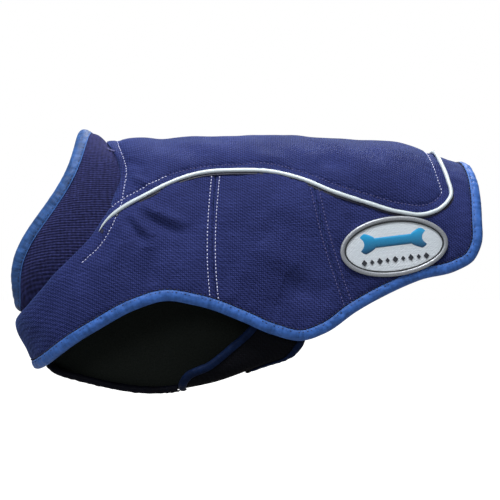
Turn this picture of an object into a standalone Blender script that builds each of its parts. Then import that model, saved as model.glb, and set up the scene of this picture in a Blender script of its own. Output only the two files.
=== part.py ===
"""Padded dog coat in the turnout-rug cut: wadded back and side panels on a dog-shaped form, a collar
band with a lead slot, bound edges, reflective piping, and a belly flap whose two wings fasten inside
the sides with hook-and-loop tape. Black gussets stand up from the belly strap between the forelegs.

Frame: metres, +Z up, +X towards the tail, the dog's left side at -Y. The origin is on the lining at
the middle of the back, where the coat rests on the dog's spine.

A place on the coat is a pair of numbers. On the body it is (s, turn): s runs from the collar seam, 0,
to just past the tail, 1.1. On the collar it is (rise, turn): rise runs from the collar seam, 0, to the
neck edge, 1. turn runs round the dog: 0 on the spine, +pi down the left side to the belly, -pi down
the right. Outlines are drawn as seen from the left, in shares of the back length and chest depth.
"""

import math

import bmesh
import bpy
import numpy as np

# Overall sizes
BACK_LENGTH = 0.350  # collar seam to tail edge, along the spine
CHEST_DEPTH = 0.238  # top of the back to the belly
CHEST_WIDTH = 0.164  # across the ribs

# Plies of the padded cloth, from the outside in
SHELL_THICKNESS = 0.0008
WADDING_THICKNESS = 0.0030
LINING_THICKNESS = 0.0006
PLY_GAP = 0.00055  # air between two plies
WADDING_DEPTH = SHELL_THICKNESS + PLY_GAP
LINING_DEPTH = WADDING_DEPTH + WADDING_THICKNESS + PLY_GAP
STACK = LINING_DEPTH + LINING_THICKNESS

# Seams and trims
SEAM_GAP = 0.0004  # between neighbouring pieces
PIPING_ROOM = 0.0005  # side shell held back below the piping
WADDING_TRIM = 0.0005  # collar wadding cut back from the seam so the seam lies flat
FOLD_ROOM = 0.0017  # between cloth and the binding folded over it
BINDING_WIDTH = 0.0095
NECK_BINDING_WIDTH = 0.0115
BINDING_THICKNESS = 0.0007
PIPING_RADIUS = 0.0020
PIPING_LIFT = 0.6 * PIPING_RADIUS  # of the cord's middle above the shell
THREAD_RADIUS = 0.0004
TWIN_SPACING = 0.0072  # between the two rows of a twin-stitched seam
STITCH_MARGIN = 0.0085  # from the piping to its row of topstitching
COLLAR_STITCHING = 0.022  # s of the row of topstitching behind the collar seam
LEAD_SLOT_LENGTH = 0.060
LEAD_SLOT_WIDTH = 0.0075
TACK_RADIUS = 0.0008

# Badge
BADGE_CENTRE = (0.754, 0.445 - 2 * BINDING_WIDTH)
BADGE_LENGTH = 0.094  # to the middle of the rim
BADGE_HEIGHT = 0.0585 - BINDING_WIDTH
BADGE_TILT = math.radians(7.0)
BADGE_THICKNESS = 0.0010
BADGE_RIM_RADIUS = 0.0019
EMBLEM_THICKNESS = 0.0007

# Belly flap and its tapes
FLAP_SHELL_THICKNESS = 0.0008
FLAP_LINING_THICKNESS = 0.0006
FLAP_BINDING_WIDTH = 0.0070
STRAP_HALF_WIDTH = 0.033
STRAP_FRONT_HALF_WIDTH = 0.026
FOLD_HALF_WIDTH = 0.045  # from the belly's middle to a wing's fold
LOOP_TAPE_THICKNESS = 0.0018
HOOK_TAPE_THICKNESS = 0.0012
LEG_GUSSET_INSET = 0.0112  # from the strap's edge to the foot of a leg gusset
LEG_GUSSET_LEAN = 0.005  # how much wider apart the gussets stand at their tops
LEG_GUSSET_THICKNESS = 0.0012
LEG_GUSSET_CLEARANCE = 0.0012  # from the strap's lining to a gusset's foot
FOLD_GAP = 0.0016  # between the strap and a wing, for the fold to bend
LOOP_DEPTH = STACK + PLY_GAP
HOOK_DEPTH = LOOP_DEPTH + LOOP_TAPE_THICKNESS + PLY_GAP
FLAP_DEPTH = HOOK_DEPTH + HOOK_TAPE_THICKNESS + PLY_GAP
FLAP_LINING_DEPTH = FLAP_SHELL_THICKNESS + PLY_GAP
FLAP_STACK = FLAP_LINING_DEPTH + FLAP_LINING_THICKNESS
WING_FLAT = 0.95 * CHEST_WIDTH / 2 - FLAP_DEPTH - 0.0008  # from the middle to a wing's flat upper part
WING_BEND = 0.0008  # over which a wing turns from the form to its flat part
TAPE_ROWS = slice(1, 4)  # rows and columns of the wing that its tape covers
TAPE_COLUMNS = slice(3, -2)

# The form: one row for each tenth of s. Spine point (along, down), belly point (along, down), how far
# the section bows towards the tail, half-width as a share of the widest, and the squareness of the
# lower half of the section.
FORM = [
    (0.000, 0.008, -0.226, 0.690, 0.125, 0.66, 2.2),
    (0.076, 0.006, -0.243, 0.735, 0.080, 0.76, 2.2),
    (0.150, 0.012, -0.214, 0.825, 0.045, 0.86, 2.3),
    (0.225, 0.004, -0.160, 0.952, 0.022, 0.94, 2.4),
    (0.300, 0.001, -0.045, 1.003, 0.008, 0.99, 2.8),
    (0.380, -0.003, 0.120, 1.034, 0.000, 1.00, 4.0),
    (0.470, -0.004, 0.290, 0.996, 0.000, 0.98, 6.0),
    (0.580, 0.004, 0.450, 0.915, 0.000, 0.95, 7.0),
    (0.700, 0.013, 0.630, 0.850, 0.000, 0.91, 6.0),
    (0.840, 0.038, 0.830, 0.780, 0.000, 0.86, 4.4),
    (1.000, 0.120, 1.030, 0.720, 0.000, 0.79, 3.4),
    (1.160, 0.210, 1.230, 0.660, 0.000, 0.71, 3.0),
]
ROW_STEP = 0.1
UPPER_SQUARENESS = 2.2

# The neck edge: spine point, belly point, its sway and bow, and half-width share
NECK_TOP = (-0.073, -0.036)
NECK_BOTTOM = (-0.243, 0.650)
NECK_SWAY = 0.026
NECK_BOW = 0.012
NECK_WIDTH = 0.58
COLLAR_SWELL = 0.0015  # how far the middle of the collar stands out

# Outlines, from the chest to the tail
HEM_START = (-0.182, 0.904)
HEM = [
    (-0.088, 0.824), (0.016, 0.727), (0.105, 0.659), (0.176, 0.630), (0.260, 0.650), (0.361, 0.703),
    (0.447, 0.757), (0.522, 0.781), (0.585, 0.750), (0.660, 0.673), (0.745, 0.604), (0.828, 0.552),
    (0.920, 0.518), (0.963, 0.481), (0.984, 0.420), (0.987, 0.320), (0.987, 0.200),
]
HEM_END = (0.978, 0.108)
PIPING_START = (0.012, 0.330)
PIPING = [
    (0.029, 0.306), (0.060, 0.282), (0.114, 0.240), (0.191, 0.183), (0.267, 0.149), (0.363, 0.140),
    (0.448, 0.146), (0.517, 0.171), (0.601, 0.221), (0.688, 0.263), (0.773, 0.298), (0.832, 0.306),
    (0.880, 0.279), (0.905, 0.235), (0.900, 0.170), (0.888, 0.100),
]
PIPING_END = (0.883, 0.060)
FRONT_SEAM = (0.299, 0.297)  # along, on the piping and on the hem
REAR_SEAM = (0.550, 0.647)

# Belly flap: the strap's edge as (s, share of STRAP_HALF_WIDTH)
FLAP_SET_BACK = 0.0028  # from the hem at the chest to the front of the flap
STRAP_EDGE = [(0.34, 0.92), (0.42, 0.94), (0.48, 1.04), (0.52, 1.20)]
FOLD = (0.550, 0.672)  # s of the fold's two ends
WING = [
    (0.215, 0.935), (0.284, 0.868), (0.337, 0.800), (0.385, 0.735), (0.415, 0.670), (0.438, 0.595), (0.475, 0.565),
    (0.515, 0.572), (0.540, 0.612), (0.545, 0.682), (0.538, 0.755), (0.528, 0.825), (0.504, 0.882),
]
LEG_GUSSET_TOP = [
    (-0.130, 0.850), (-0.088, 0.775), (0.016, 0.675), (0.105, 0.608), (0.176, 0.578), (0.260, 0.590),
    (0.361, 0.640), (0.440, 0.672),
]
LEG_GUSSET_FOOT = (0.018, 0.558)  # from the strap's front end to the foot's front, and s of its rear
WING_CORNERS = ((0.438, 0.595), (0.540, 0.612))  # where the wing's front and rear edges meet its top

# Rows and columns of the mesh
SIDE_ROWS = np.array([0, 0.2, 0.4, 0.6, 0.8, 0.92, 0.96, 1.0])
CHEST_COLUMNS, LEG_COLUMNS, GUSSET_COLUMNS, FLANK_COLUMNS = 4, 12, 8, 10
SPINE_ROWS = 9
STRAP_COLUMNS, FOLD_COLUMNS, STRAP_ROWS = 10, 4, 9
WING_ROWS, WING_COLUMNS = 13, 10
LEG_GUSSET_ROWS, LEG_GUSSET_COLUMNS = 4, 14


def blend(table, s):
    """The table's row at s, on a smooth curve through the rows."""
    table = np.asarray(table, float)
    at = np.asarray(s, float) / ROW_STEP
    i = np.clip(np.floor(at).astype(int), 0, len(table) - 2)
    t = (at - i)[..., None]
    last = len(table) - 1
    here, there = table[i], table[i + 1]
    before = np.where((i > 0)[..., None], table[np.maximum(i - 1, 0)], 2 * here - there)
    after = np.where((i + 2 <= last)[..., None], table[np.minimum(i + 2, last)], 2 * there - here)
    leave, arrive = (there - before) / 2, (after - here) / 2
    return (
        (2 * t**3 - 3 * t**2 + 1) * here
        + (t**3 - 2 * t**2 + t) * leave
        + (3 * t**2 - 2 * t**3) * there
        + (t**3 - t**2) * arrive
    )


def rounding(turn, squareness):
    """Share of the way down a section, and of its half-width, on a superellipse at the angle turn."""
    c, w = np.cos(turn), np.sin(turn)
    n = np.where(c >= 0, UPPER_SQUARENESS, squareness)
    r = (np.abs(c) ** n + np.abs(w) ** n) ** (-1 / n)
    return (1 - r * c) / 2, r * w


def bow_shape(f):
    return f * (1 - f) * (2 + 3.375 * (1 - f))


def in_metres(along, width, down):
    """Shares of the overall sizes turned into a point of the part's frame."""
    return np.stack([
        (along - 0.5) * BACK_LENGTH,
        -width * CHEST_WIDTH / 2,
        STACK - down * CHEST_DEPTH,
    ], -1)


def body(place):
    """Outer surface of the coat's body."""
    s, turn = place[..., 0], place[..., 1]
    row = blend(FORM, s)
    f, w = rounding(turn, row[..., 6])
    along = row[..., 0] + (row[..., 2] - row[..., 0]) * f + row[..., 4] * bow_shape(f)
    down = row[..., 1] + (row[..., 3] - row[..., 1]) * f
    return in_metres(along, row[..., 5] * w, down)


def collar(place):
    """Outer surface of the collar: straight from the collar seam to the neck edge, a little swollen."""
    rise, turn = place[..., 0], place[..., 1]
    f, w = rounding(turn, UPPER_SQUARENESS)
    along = NECK_TOP[0] + (NECK_BOTTOM[0] - NECK_TOP[0]) * f
    along = along + NECK_SWAY * np.sin(2 * math.pi * f) - NECK_BOW * np.sin(math.pi * f)
    down = NECK_TOP[1] + (NECK_BOTTOM[1] - NECK_TOP[1]) * f
    edge = in_metres(along, NECK_WIDTH * w, down)
    seam = body(np.stack([np.zeros_like(turn), turn], -1))
    swell = COLLAR_SWELL * np.sin(math.pi * rise)
    out = np.stack([np.zeros_like(turn), -np.sin(turn), np.cos(turn)], -1)
    return seam + (edge - seam) * rise[..., None] + out * swell[..., None]


def flap(place):
    """Outer surface of the belly flap: the form drawn in, with the upper part of each wing flat."""
    points = skin(body, place, FLAP_DEPTH)
    y = np.abs(points[..., 1])
    flat = WING_FLAT - WING_BEND * np.logaddexp(0, (WING_FLAT - y) / WING_BEND)
    points[..., 1] = np.sign(points[..., 1]) * flat
    return points


def unit(v):
    return v / np.linalg.norm(v, axis=-1, keepdims=True)


def slopes(face, place):
    """How the surface moves with each number of the place."""
    e = 1e-3
    first, second = np.array([e, 0.0]), np.array([0.0, e])
    return tuple((face(place + d) - face(place - d)) / (2 * e) for d in (first, second))


def normal(face, place):
    """Outward normal. The collar takes over the body's normal at the seam they share."""
    lengthwise, round_dog = slopes(face, place)
    out = unit(np.cross(round_dog, lengthwise))
    if face is not collar:
        return out
    rise, turn = place[..., 0], place[..., 1]
    seam = normal(body, np.stack([np.zeros_like(turn), turn], -1))
    share = np.clip(rise, 0, 1)[..., None]
    return unit(-out * share + seam * (1 - share))


def skin(face, place, depth=0.0):
    """Points at a depth under the coat's outer surface."""
    depth = np.asarray(depth, float)
    return face(place) - normal(face, place) * depth[..., None]


def move(face, place, step):
    """The place reached by a short 3-D step along the surface."""
    place = np.array(place, float)
    for _ in range(4):
        p, q = slopes(face, place)
        a, b, c = (p * p).sum(-1), (p * q).sum(-1), (q * q).sum(-1)
        x, y = (p * step).sum(-1) / 4, (q * step).sum(-1) / 4
        det = a * c - b * b
        place = place + np.stack([(c * x - b * y) / det, (a * y - b * x) / det], -1)
    return place


def on_middle(place):
    """Whether a line ending here crosses the middle of the dog, where the coat is symmetrical."""
    return abs(math.sin(place[1])) < 1e-6


def beside(face, line, distance):
    """The line moved sideways over the surface; positive is to the right, seen from outside."""
    along = unit(np.gradient(face(line), axis=0))
    across = np.cross(along, normal(face, line))
    moved = move(face, line, across * distance)
    for end in (0, -1):
        if on_middle(line[end]):
            moved[end, 1] = line[end, 1]
    return moved


def seen_at(along, down):
    """The place on the body's left side that is seen from the left at (along, down)."""
    low, high = -0.2, 1.1
    for _ in range(50):
        s = (low + high) / 2
        row = blend(FORM, s)
        f = min(max((down - row[1]) / (row[3] - row[1]), 0), 1)
        here = row[0] + (row[2] - row[0]) * f + row[4] * bow_shape(f)
        low, high = (s, high) if here < along else (low, s)
    c = 1 - 2 * f
    n = UPPER_SQUARENESS if c >= 0 else row[6]
    return s, math.atan2((1 - abs(c) ** n) ** (1 / n), c)


def turn_at(s, width):
    """turn of the place near the belly that is this far to the left of the middle."""
    low, high = math.pi / 2, math.pi
    for _ in range(40):
        turn = (low + high) / 2
        row = blend(FORM, s)
        here = row[5] * rounding(turn, row[6])[1] * CHEST_WIDTH / 2
        low, high = (turn, high) if here > width else (low, turn)
    return turn


def curve_through(face, knots, samples=241):
    """Smooth line of places through the knots, evenly spaced along the surface."""
    knots = np.array(knots, float)
    u = np.concatenate([[0], np.cumsum(np.linalg.norm(np.diff(face(knots), axis=0), axis=1))])
    slope = np.gradient(knots, u, axis=0)
    for end in (0, -1):
        if on_middle(knots[end]):
            slope[end, 0] = 0
    at = np.linspace(0, u[-1], 2000)
    i = np.clip(np.searchsorted(u, at, side="right") - 1, 0, len(u) - 2)
    gap = (u[i + 1] - u[i])[:, None]
    t = (at[:, None] - u[i][:, None]) / gap
    line = (
        (2 * t**3 - 3 * t**2 + 1) * knots[i]
        + (t**3 - 2 * t**2 + t) * slope[i] * gap
        + (3 * t**2 - 2 * t**3) * knots[i + 1]
        + (t**3 - t**2) * slope[i + 1] * gap
    )
    return even(face, line, samples)


def even(face, line, samples=241):
    """The same line, evenly spaced."""
    u = np.concatenate([[0], np.cumsum(np.linalg.norm(np.diff(face(line), axis=0), axis=1))])
    at = np.linspace(0, u[-1], samples)
    return np.stack([np.interp(at, u, line[:, k]) for k in (0, 1)], -1)


def part_of(line, shares):
    """Places at these shares of an evenly spaced line."""
    u = np.linspace(0, 1, len(line))
    return np.stack([np.interp(shares, u, line[:, k]) for k in (0, 1)], -1)


def share_at(line, along):
    """Share of the line where it first comes as far along as this."""
    reached = body(line)[:, 0] / BACK_LENGTH + 0.5 >= along
    return int(np.argmax(reached)) / (len(line) - 1)


def share_near(line, place):
    """Share of the line where it passes closest to a place."""
    return int(np.argmin(np.linalg.norm(body(line) - body(np.array(place)), axis=1))) / (len(line) - 1)


def mixed(a, b, shares):
    shares = np.asarray(shares, float)[:, None]
    return np.asarray(a) * (1 - shares) + np.asarray(b) * shares


def patch(top, bottom, left, right, rows):
    """Grid of places filling four edges: rows run from top to bottom, columns from left to right."""
    u = np.linspace(0, 1, len(top))[None, :, None]
    v = rows[:, None, None]
    corners = (
        (1 - u) * (1 - v) * top[0]
        + u * (1 - v) * top[-1]
        + (1 - u) * v * bottom[0]
        + u * v * bottom[-1]
    )
    return (1 - v) * top[None] + v * bottom[None] + (1 - u) * left[:, None] + u * right[:, None] - corners


def drawn_in(grid, top=0.0, bottom=0.0, left=0.0, right=0.0):
    """The grid of points with its edges drawn in by these distances."""
    grid = grid.copy()
    for edge, inner, by in (
        (grid[0], grid[1], top),
        (grid[-1], grid[-2], bottom),
        (grid[:, 0], grid[:, 1], left),
        (grid[:, -1], grid[:, -2], right),
    ):
        edge += unit(inner - edge) * np.asarray(by)[..., None]
    return grid


MIRROR = np.array([1, -1, 1])

for old in list(bpy.data.objects):
    bpy.data.objects.remove(old, do_unlink=True)
COAT = bpy.data.collections.new("dog_coat")
bpy.context.scene.collection.children.link(COAT)


def material(name, colour, roughness):
    made = bpy.data.materials.new(name)
    made.use_nodes = True
    shader = made.node_tree.nodes["Principled BSDF"]
    shader.inputs["Base Color"].default_value = (*colour, 1)
    shader.inputs["Roughness"].default_value = roughness
    shader.inputs["Metallic"].default_value = 0.0
    made.diffuse_color = (*colour, 1)
    return made


def add_object(name, data, finish):
    made = bpy.data.objects.new(name, data)
    data.materials.append(finish)
    COAT.objects.link(made)


def add_ply(name, outer, inner, finish):
    """A ply of cloth: a primitive grid extruded to a slab, its faces laid over two grids of points."""
    rows, columns = outer.shape[:2]
    shape = bmesh.new()
    bmesh.ops.create_grid(shape, x_segments=columns - 1, y_segments=rows - 1, size=0.5)
    front = list(shape.verts)
    extruded = bmesh.ops.extrude_face_region(shape, geom=shape.faces[:])["geom"]
    back = [part for part in extruded if isinstance(part, bmesh.types.BMVert)]
    for side, grid in ((front, outer), (back, inner)):
        for vertex in side:
            column = round((vertex.co.x + 0.5) * (columns - 1))
            row = round((0.5 - vertex.co.y) * (rows - 1))
            vertex.co = grid[row, column]
    bmesh.ops.recalc_face_normals(shape, faces=shape.faces[:])
    if shape.calc_volume(signed=True) < 0:
        bmesh.ops.reverse_faces(shape, faces=shape.faces[:])
    mesh = bpy.data.meshes.new(name)
    shape.to_mesh(mesh)
    shape.free()
    add_object(name, mesh, finish)


def add_layer(name, face, places, depth, thickness, finish, mirror_name=None, **edges):
    """A ply following the surface at a depth, and its mirror image."""
    outer = drawn_in(skin(face, places, depth), **edges)
    inner = drawn_in(skin(face, places, np.asarray(depth) + thickness), **edges)
    add_ply(name, outer, inner, finish)
    if mirror_name:
        add_ply(mirror_name, outer * MIRROR, inner * MIRROR, finish)


def add_cord(name, points, radius, finish, sides=2, closed=False):
    """A round cord or thread through the points."""
    data = bpy.data.curves.new(name, "CURVE")
    data.dimensions = "3D"
    data.bevel_depth = radius
    data.bevel_resolution = sides
    data.use_fill_caps = not closed
    spline = data.splines.new("POLY")
    spline.use_cyclic_u = closed
    spline.points.add(len(points) - 1)
    for knot, place in zip(spline.points, points):
        knot.co = (*place, 1)
    add_object(name, data, finish)


def edge_room(stack):
    """From the outside of a bound edge to the cloth's own edge."""
    return stack / 2 + FOLD_ROOM + BINDING_THICKNESS + SEAM_GAP


def binding_grids(face, line, shares, side, width, stack):
    """Outer and inner grids of a binding folded over the cloth on the given side of an edge line."""
    fold = edge_room(stack) - SEAM_GAP
    bend = np.linspace(math.pi / 2, -math.pi / 2, 4)[1:-1]
    grids = []
    for half in (fold, fold - BINDING_THICKNESS):
        reach = np.concatenate([[width, fold], fold - half * np.cos(bend), [fold, width]])
        below = stack / 2 - np.concatenate([[half, half], half * np.sin(bend), [-half, -half]])
        columns = []
        for distance, drop in zip(reach, below):
            place = beside(face, line, side * max(distance, fold))
            along = unit(np.gradient(face(place), axis=0))
            across = np.cross(along, normal(face, place)) * side
            points = skin(face, place, drop) + across * min(distance - fold, 0)
            u = np.linspace(0, 1, len(line))
            columns.append(np.stack([np.interp(shares, u, points[:, k]) for k in range(3)], -1))
        grids.append(np.stack(columns, 1))
    return grids


def both_sides(line):
    """A line of points on the left that ends on the middle, carried on down the right."""
    return np.concatenate([line, (line * MIRROR)[-2::-1]])


# Lines of places
chest_end = seen_at(*HEM_START)[0]
hem = curve_through(body, [(chest_end, math.pi), *(seen_at(*p) for p in HEM), (seen_at(*HEM_END)[0], 0)])
piping_knots = [(0, seen_at(*PIPING_START)[1]), *(seen_at(*p) for p in PIPING), (seen_at(*PIPING_END)[0], 0)]
piping = curve_through(body, piping_knots)
cloth_edge = beside(body, hem, -edge_room(STACK))
shell_below_piping = beside(body, piping, PIPING_RADIUS + SEAM_GAP)
shell_above_piping = beside(body, piping, -PIPING_RADIUS - SEAM_GAP)

front_on_piping, rear_on_piping = share_at(piping, FRONT_SEAM[0]), share_at(piping, REAR_SEAM[0])
front_on_hem, rear_on_hem = share_at(hem, FRONT_SEAM[1]), share_at(hem, REAR_SEAM[1])
corner_on_piping = int(np.argmax(body(piping)[:, 0])) / (len(piping) - 1)

shoulder_shares = np.linspace(0, front_on_piping, CHEST_COLUMNS + LEG_COLUMNS - 1)
gusset_shares = np.linspace(front_on_piping, rear_on_piping, GUSSET_COLUMNS)
flank_shares = np.linspace(rear_on_piping, corner_on_piping, FLANK_COLUMNS)
tail_shares = np.linspace(corner_on_piping, 1, SPINE_ROWS // 2 + 1)
rear_shares = np.concatenate([flank_shares, tail_shares[1:]])
leg_hem_shares = np.linspace(0, front_on_hem, LEG_COLUMNS)
gusset_hem_shares = np.linspace(front_on_hem, rear_on_hem, GUSSET_COLUMNS)
rear_hem_shares = np.linspace(rear_on_hem, 1, len(rear_shares))

shell_navy = material("shell_cloth", (0.025, 0.028, 0.105), 0.75)
lining_black = material("lining_cloth", (0.008, 0.008, 0.011), 0.8)
wadding_white = material("wadding", (0.75, 0.75, 0.72), 0.95)
binding_blue = material("binding_tape", (0.045, 0.155, 0.50), 0.5)
piping_silver = material("reflective_piping", (0.62, 0.68, 0.72), 0.35)
thread_grey = material("sewing_thread", (0.34, 0.36, 0.58), 0.6)
badge_silver = material("badge_rim", (0.45, 0.47, 0.50), 0.5)
badge_white = material("badge_ground", (0.70, 0.73, 0.76), 0.6)
badge_blue = material("badge_emblem", (0.02, 0.26, 0.58), 0.5)
tape_black = material("hook_and_loop_tape", (0.012, 0.012, 0.014), 0.9)

PLIES = (
    ("panel", 0.0, SHELL_THICKNESS, shell_navy),
    ("wadding", WADDING_DEPTH, WADDING_THICKNESS, wadding_white),
    ("lining", LINING_DEPTH, LINING_THICKNESS, lining_black),
)


def seam_line(upper, lower, top_share, bottom_share):
    """A seam down a side, from the piping to the hem."""
    top = part_of(upper, [top_share])[0]
    bottom = part_of(lower, [bottom_share])[0]
    return mixed(top, bottom, SIDE_ROWS)


def side_patches():
    """Places of the left shoulder, gusset and flank."""
    front = seam_line(piping, cloth_edge, front_on_piping, front_on_hem)
    rear = seam_line(piping, cloth_edge, rear_on_piping, rear_on_hem)
    back = seam_line(piping, cloth_edge, 1, 1)
    collar_side = mixed(piping[0], (0, math.pi), SIDE_ROWS)
    chest = mixed((0, math.pi), cloth_edge[0], np.linspace(0, 1, CHEST_COLUMNS))
    under = np.concatenate([chest, part_of(cloth_edge, leg_hem_shares)[1:]])
    return {
        "shoulder": patch(part_of(piping, shoulder_shares), under, collar_side, front, SIDE_ROWS),
        "gusset": patch(part_of(piping, gusset_shares), part_of(cloth_edge, gusset_hem_shares),
                        front, rear, SIDE_ROWS),
        "flank": patch(part_of(piping, rear_shares), part_of(cloth_edge, rear_hem_shares),
                       rear, back, SIDE_ROWS),
    }


def spine_patch():
    """Places between the left piping and the right one, from the collar seam to the piping's loop."""
    across = np.linspace(0, 1, SPINE_ROWS)
    left = part_of(piping, np.concatenate([shoulder_shares, gusset_shares[1:], flank_shares[1:]]))
    half = part_of(piping, tail_shares)
    rear = np.concatenate([half, (half * [1, -1])[-2::-1]])
    front = mixed(left[0], left[0] * [1, -1], across)
    return patch(left, left * [1, -1], front, rear, across)


def build_body():
    """Shell, wadding and lining of the back and of both sides."""
    half_gap = SEAM_GAP / 2
    for ply, depth, thickness, finish in PLIES:
        piping_side = PIPING_RADIUS + 3 * SEAM_GAP if ply == "panel" else half_gap
        for piece, places in side_patches().items():
            bottom = np.zeros(places.shape[1])
            if piece == "shoulder":
                bottom[:CHEST_COLUMNS] = half_gap
            add_layer(f"left_{piece}_{ply}", body, places, depth, thickness, finish,
                      mirror_name=f"right_{piece}_{ply}",
                      top=piping_side + (PIPING_ROOM if ply == "panel" else 0), bottom=bottom,
                      left=half_gap, right=half_gap)
        add_layer(f"spine_{ply}", body, spine_patch(), depth, thickness, finish,
                  top=piping_side, bottom=piping_side, left=half_gap, right=piping_side)


def build_collar():
    """Collar band with the lead slot cut into the nape seam, and the binding round the neck."""
    side = mixed((0, math.pi - SEAM_GAP * 10), piping[0], 1 - SIDE_ROWS[::-1])[:, 1]
    across = mixed(piping[0], piping[0] * [1, -1], np.linspace(0, 1, SPINE_ROWS))[:, 1]
    turns = np.concatenate([side, across[1:-1], -side[::-1]])
    seam = np.stack([np.zeros_like(turns), turns], -1)
    slot = np.sqrt(np.clip(1 - (body(seam)[:, 1] * 2 / LEAD_SLOT_LENGTH) ** 2, 0, 1)) * (np.cos(turns) > 0)
    height = np.linalg.norm(collar(seam + [1, 0]) - collar(seam), axis=-1)
    low = (1.5 * SEAM_GAP + slot * LEAD_SLOT_WIDTH) / height
    high = 1 - edge_room(STACK) / height
    for ply, depth, thickness, finish in PLIES:
        foot = low + (WADDING_TRIM / height if ply == "wadding" else 0)
        places = np.stack([np.stack([high + (foot - high) * v, turns], -1) for v in (0, 0.4, 0.75, 1.0)])
        add_layer("collar_" + ply, collar, places, depth, thickness, finish)
    edge = seam + [1, 0]
    fine = even(collar, edge)
    shares = np.interp(turns[::-1], fine[::-1, 1], np.linspace(1, 0, len(fine)))[::-1]
    outer, inner = binding_grids(collar, fine, shares, 1, NECK_BINDING_WIDTH, STACK)
    add_ply("neck_binding", outer, inner, binding_blue)


def build_trims():
    """Hem binding, reflective piping and the rows of topstitching."""
    shares = np.concatenate([leg_hem_shares, gusset_hem_shares[1:], rear_hem_shares[1:]])
    grids = binding_grids(body, hem, shares, -1, BINDING_WIDTH, STACK)
    for grid in grids:
        grid[0, :, 1] = -SEAM_GAP / 2
        grid[-1, :, 1] = 0
    add_ply("hem_binding", *(both_sides(grid) for grid in grids), binding_blue)
    shares = np.concatenate([shoulder_shares, gusset_shares[1:], rear_shares[1:]])
    shares[0] = 0.004
    cord = both_sides(skin(body, part_of(piping, shares), -PIPING_LIFT))
    add_cord("reflective_piping", cord, PIPING_RADIUS, piping_silver)


def add_thread(name, line, mirror_name=None):
    """A row of stitching lying on the shell."""
    points = skin(body, line, -THREAD_RADIUS - 2 * PLY_GAP)
    if mirror_name:
        add_cord(name, points, THREAD_RADIUS, thread_grey, sides=0)
        add_cord(mirror_name, points * MIRROR, THREAD_RADIUS, thread_grey, sides=0)
    else:
        add_cord(name, both_sides(points), THREAD_RADIUS, thread_grey, sides=0)


def build_threads():
    """Twin rows down each side seam, and one row inside the piping."""
    for seam, top, bottom in (
        ("front", front_on_piping, front_on_hem),
        ("rear", rear_on_piping, rear_on_hem),
    ):
        line = even(body, seam_line(piping, hem, top, bottom))
        length = np.linalg.norm(np.diff(body(line), axis=0), axis=1).sum()
        shares = np.linspace(0.006 / length, 1 - (BINDING_WIDTH + 0.004) / length, 9)
        for row, side in ((1, 0.5), (2, -0.5)):
            stitches = part_of(beside(body, line, side * TWIN_SPACING), shares)
            add_thread(f"left_{seam}_seam_stitching_{row}", stitches, f"right_{seam}_seam_stitching_{row}")
    shares = np.concatenate([shoulder_shares, gusset_shares[1:], rear_shares[1:]])
    shares[0] = 0.03
    add_thread("piping_stitching", part_of(beside(body, piping, -STITCH_MARGIN), shares))
    nape = np.interp(COLLAR_STITCHING, piping[:40, 0], piping[:40, 1]) * np.linspace(0.75, 0, 4)
    add_thread("collar_stitching", np.stack([np.full(4, COLLAR_STITCHING), nape], -1))


def badge_places(across, up):
    """Places on the badge, from distances along and up from its middle."""
    centre = np.array(seen_at(*BADGE_CENTRE))
    out = normal(body, centre)
    level = unit(np.array([1.0, 0.0, 0.0]) - out * out[0])
    rise = np.cross(level, out)
    rise = rise * np.sign(rise[2])
    c, w = math.cos(BADGE_TILT), math.sin(BADGE_TILT)
    step = (across * c - up * w)[..., None] * level + (across * w + up * c)[..., None] * rise
    return move(body, np.broadcast_to(centre, (*step.shape[:-1], 2)), step)


def disc(half_length, half_height, columns, rows):
    """A square grid rounded into an ellipse."""
    x, y = np.meshgrid(np.linspace(-1, 1, columns), np.linspace(1, -1, rows))
    return half_length * x * np.sqrt(1 - y * y / 2), half_height * y * np.sqrt(1 - x * x / 2)


def build_badge():
    """Stiff woven badge on the left flank: a ground, a corded rim and a generic bone over a bar."""
    spread = np.linspace(0, 2 * math.pi, 41)[:-1]
    rim = badge_places(BADGE_LENGTH / 2 * np.cos(spread), BADGE_HEIGHT / 2 * np.sin(spread))
    add_cord("badge_rim", skin(body, rim, -BADGE_RIM_RADIUS - PLY_GAP), BADGE_RIM_RADIUS, badge_silver,
             sides=1, closed=True)
    inset = BADGE_RIM_RADIUS + 2 * SEAM_GAP
    ground = badge_places(*disc(BADGE_LENGTH / 2 - inset, BADGE_HEIGHT / 2 - inset, 13, 9))
    add_layer("badge_ground", body, ground, -PLY_GAP - BADGE_THICKNESS, BADGE_THICKNESS, badge_white)
    height = -2 * PLY_GAP - BADGE_THICKNESS - EMBLEM_THICKNESS
    x, y = np.meshgrid(np.linspace(-1, 1, 17), np.linspace(1, -1, 5))
    knob = 0.0044 + 0.0048 * np.clip((np.abs(x) - 0.55) / 0.3, 0, 1) ** 0.7
    knob = knob * np.sqrt(np.clip(1 - np.clip((np.abs(x) - 0.8) / 0.26, 0, 1) ** 2, 0.2, 1))
    bone = badge_places(0.030 * x * (1 - 0.12 * (1 - y * y) * x * x), 0.0050 + knob * y)
    add_layer("badge_bone", body, bone, height, EMBLEM_THICKNESS, badge_blue)
    x, y = np.meshgrid(np.linspace(-0.024, 0.024, 9), np.linspace(0.0014, -0.0014, 2))
    add_layer("badge_bar", body, badge_places(x, y - 0.0115), height, EMBLEM_THICKNESS, tape_black)


def flap_place(s, width):
    """Place on the belly this far to the left of the dog's middle; negative is to the right."""
    turn = turn_at(s, abs(width))
    return s, turn if width >= 0 else 2 * math.pi - turn


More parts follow.
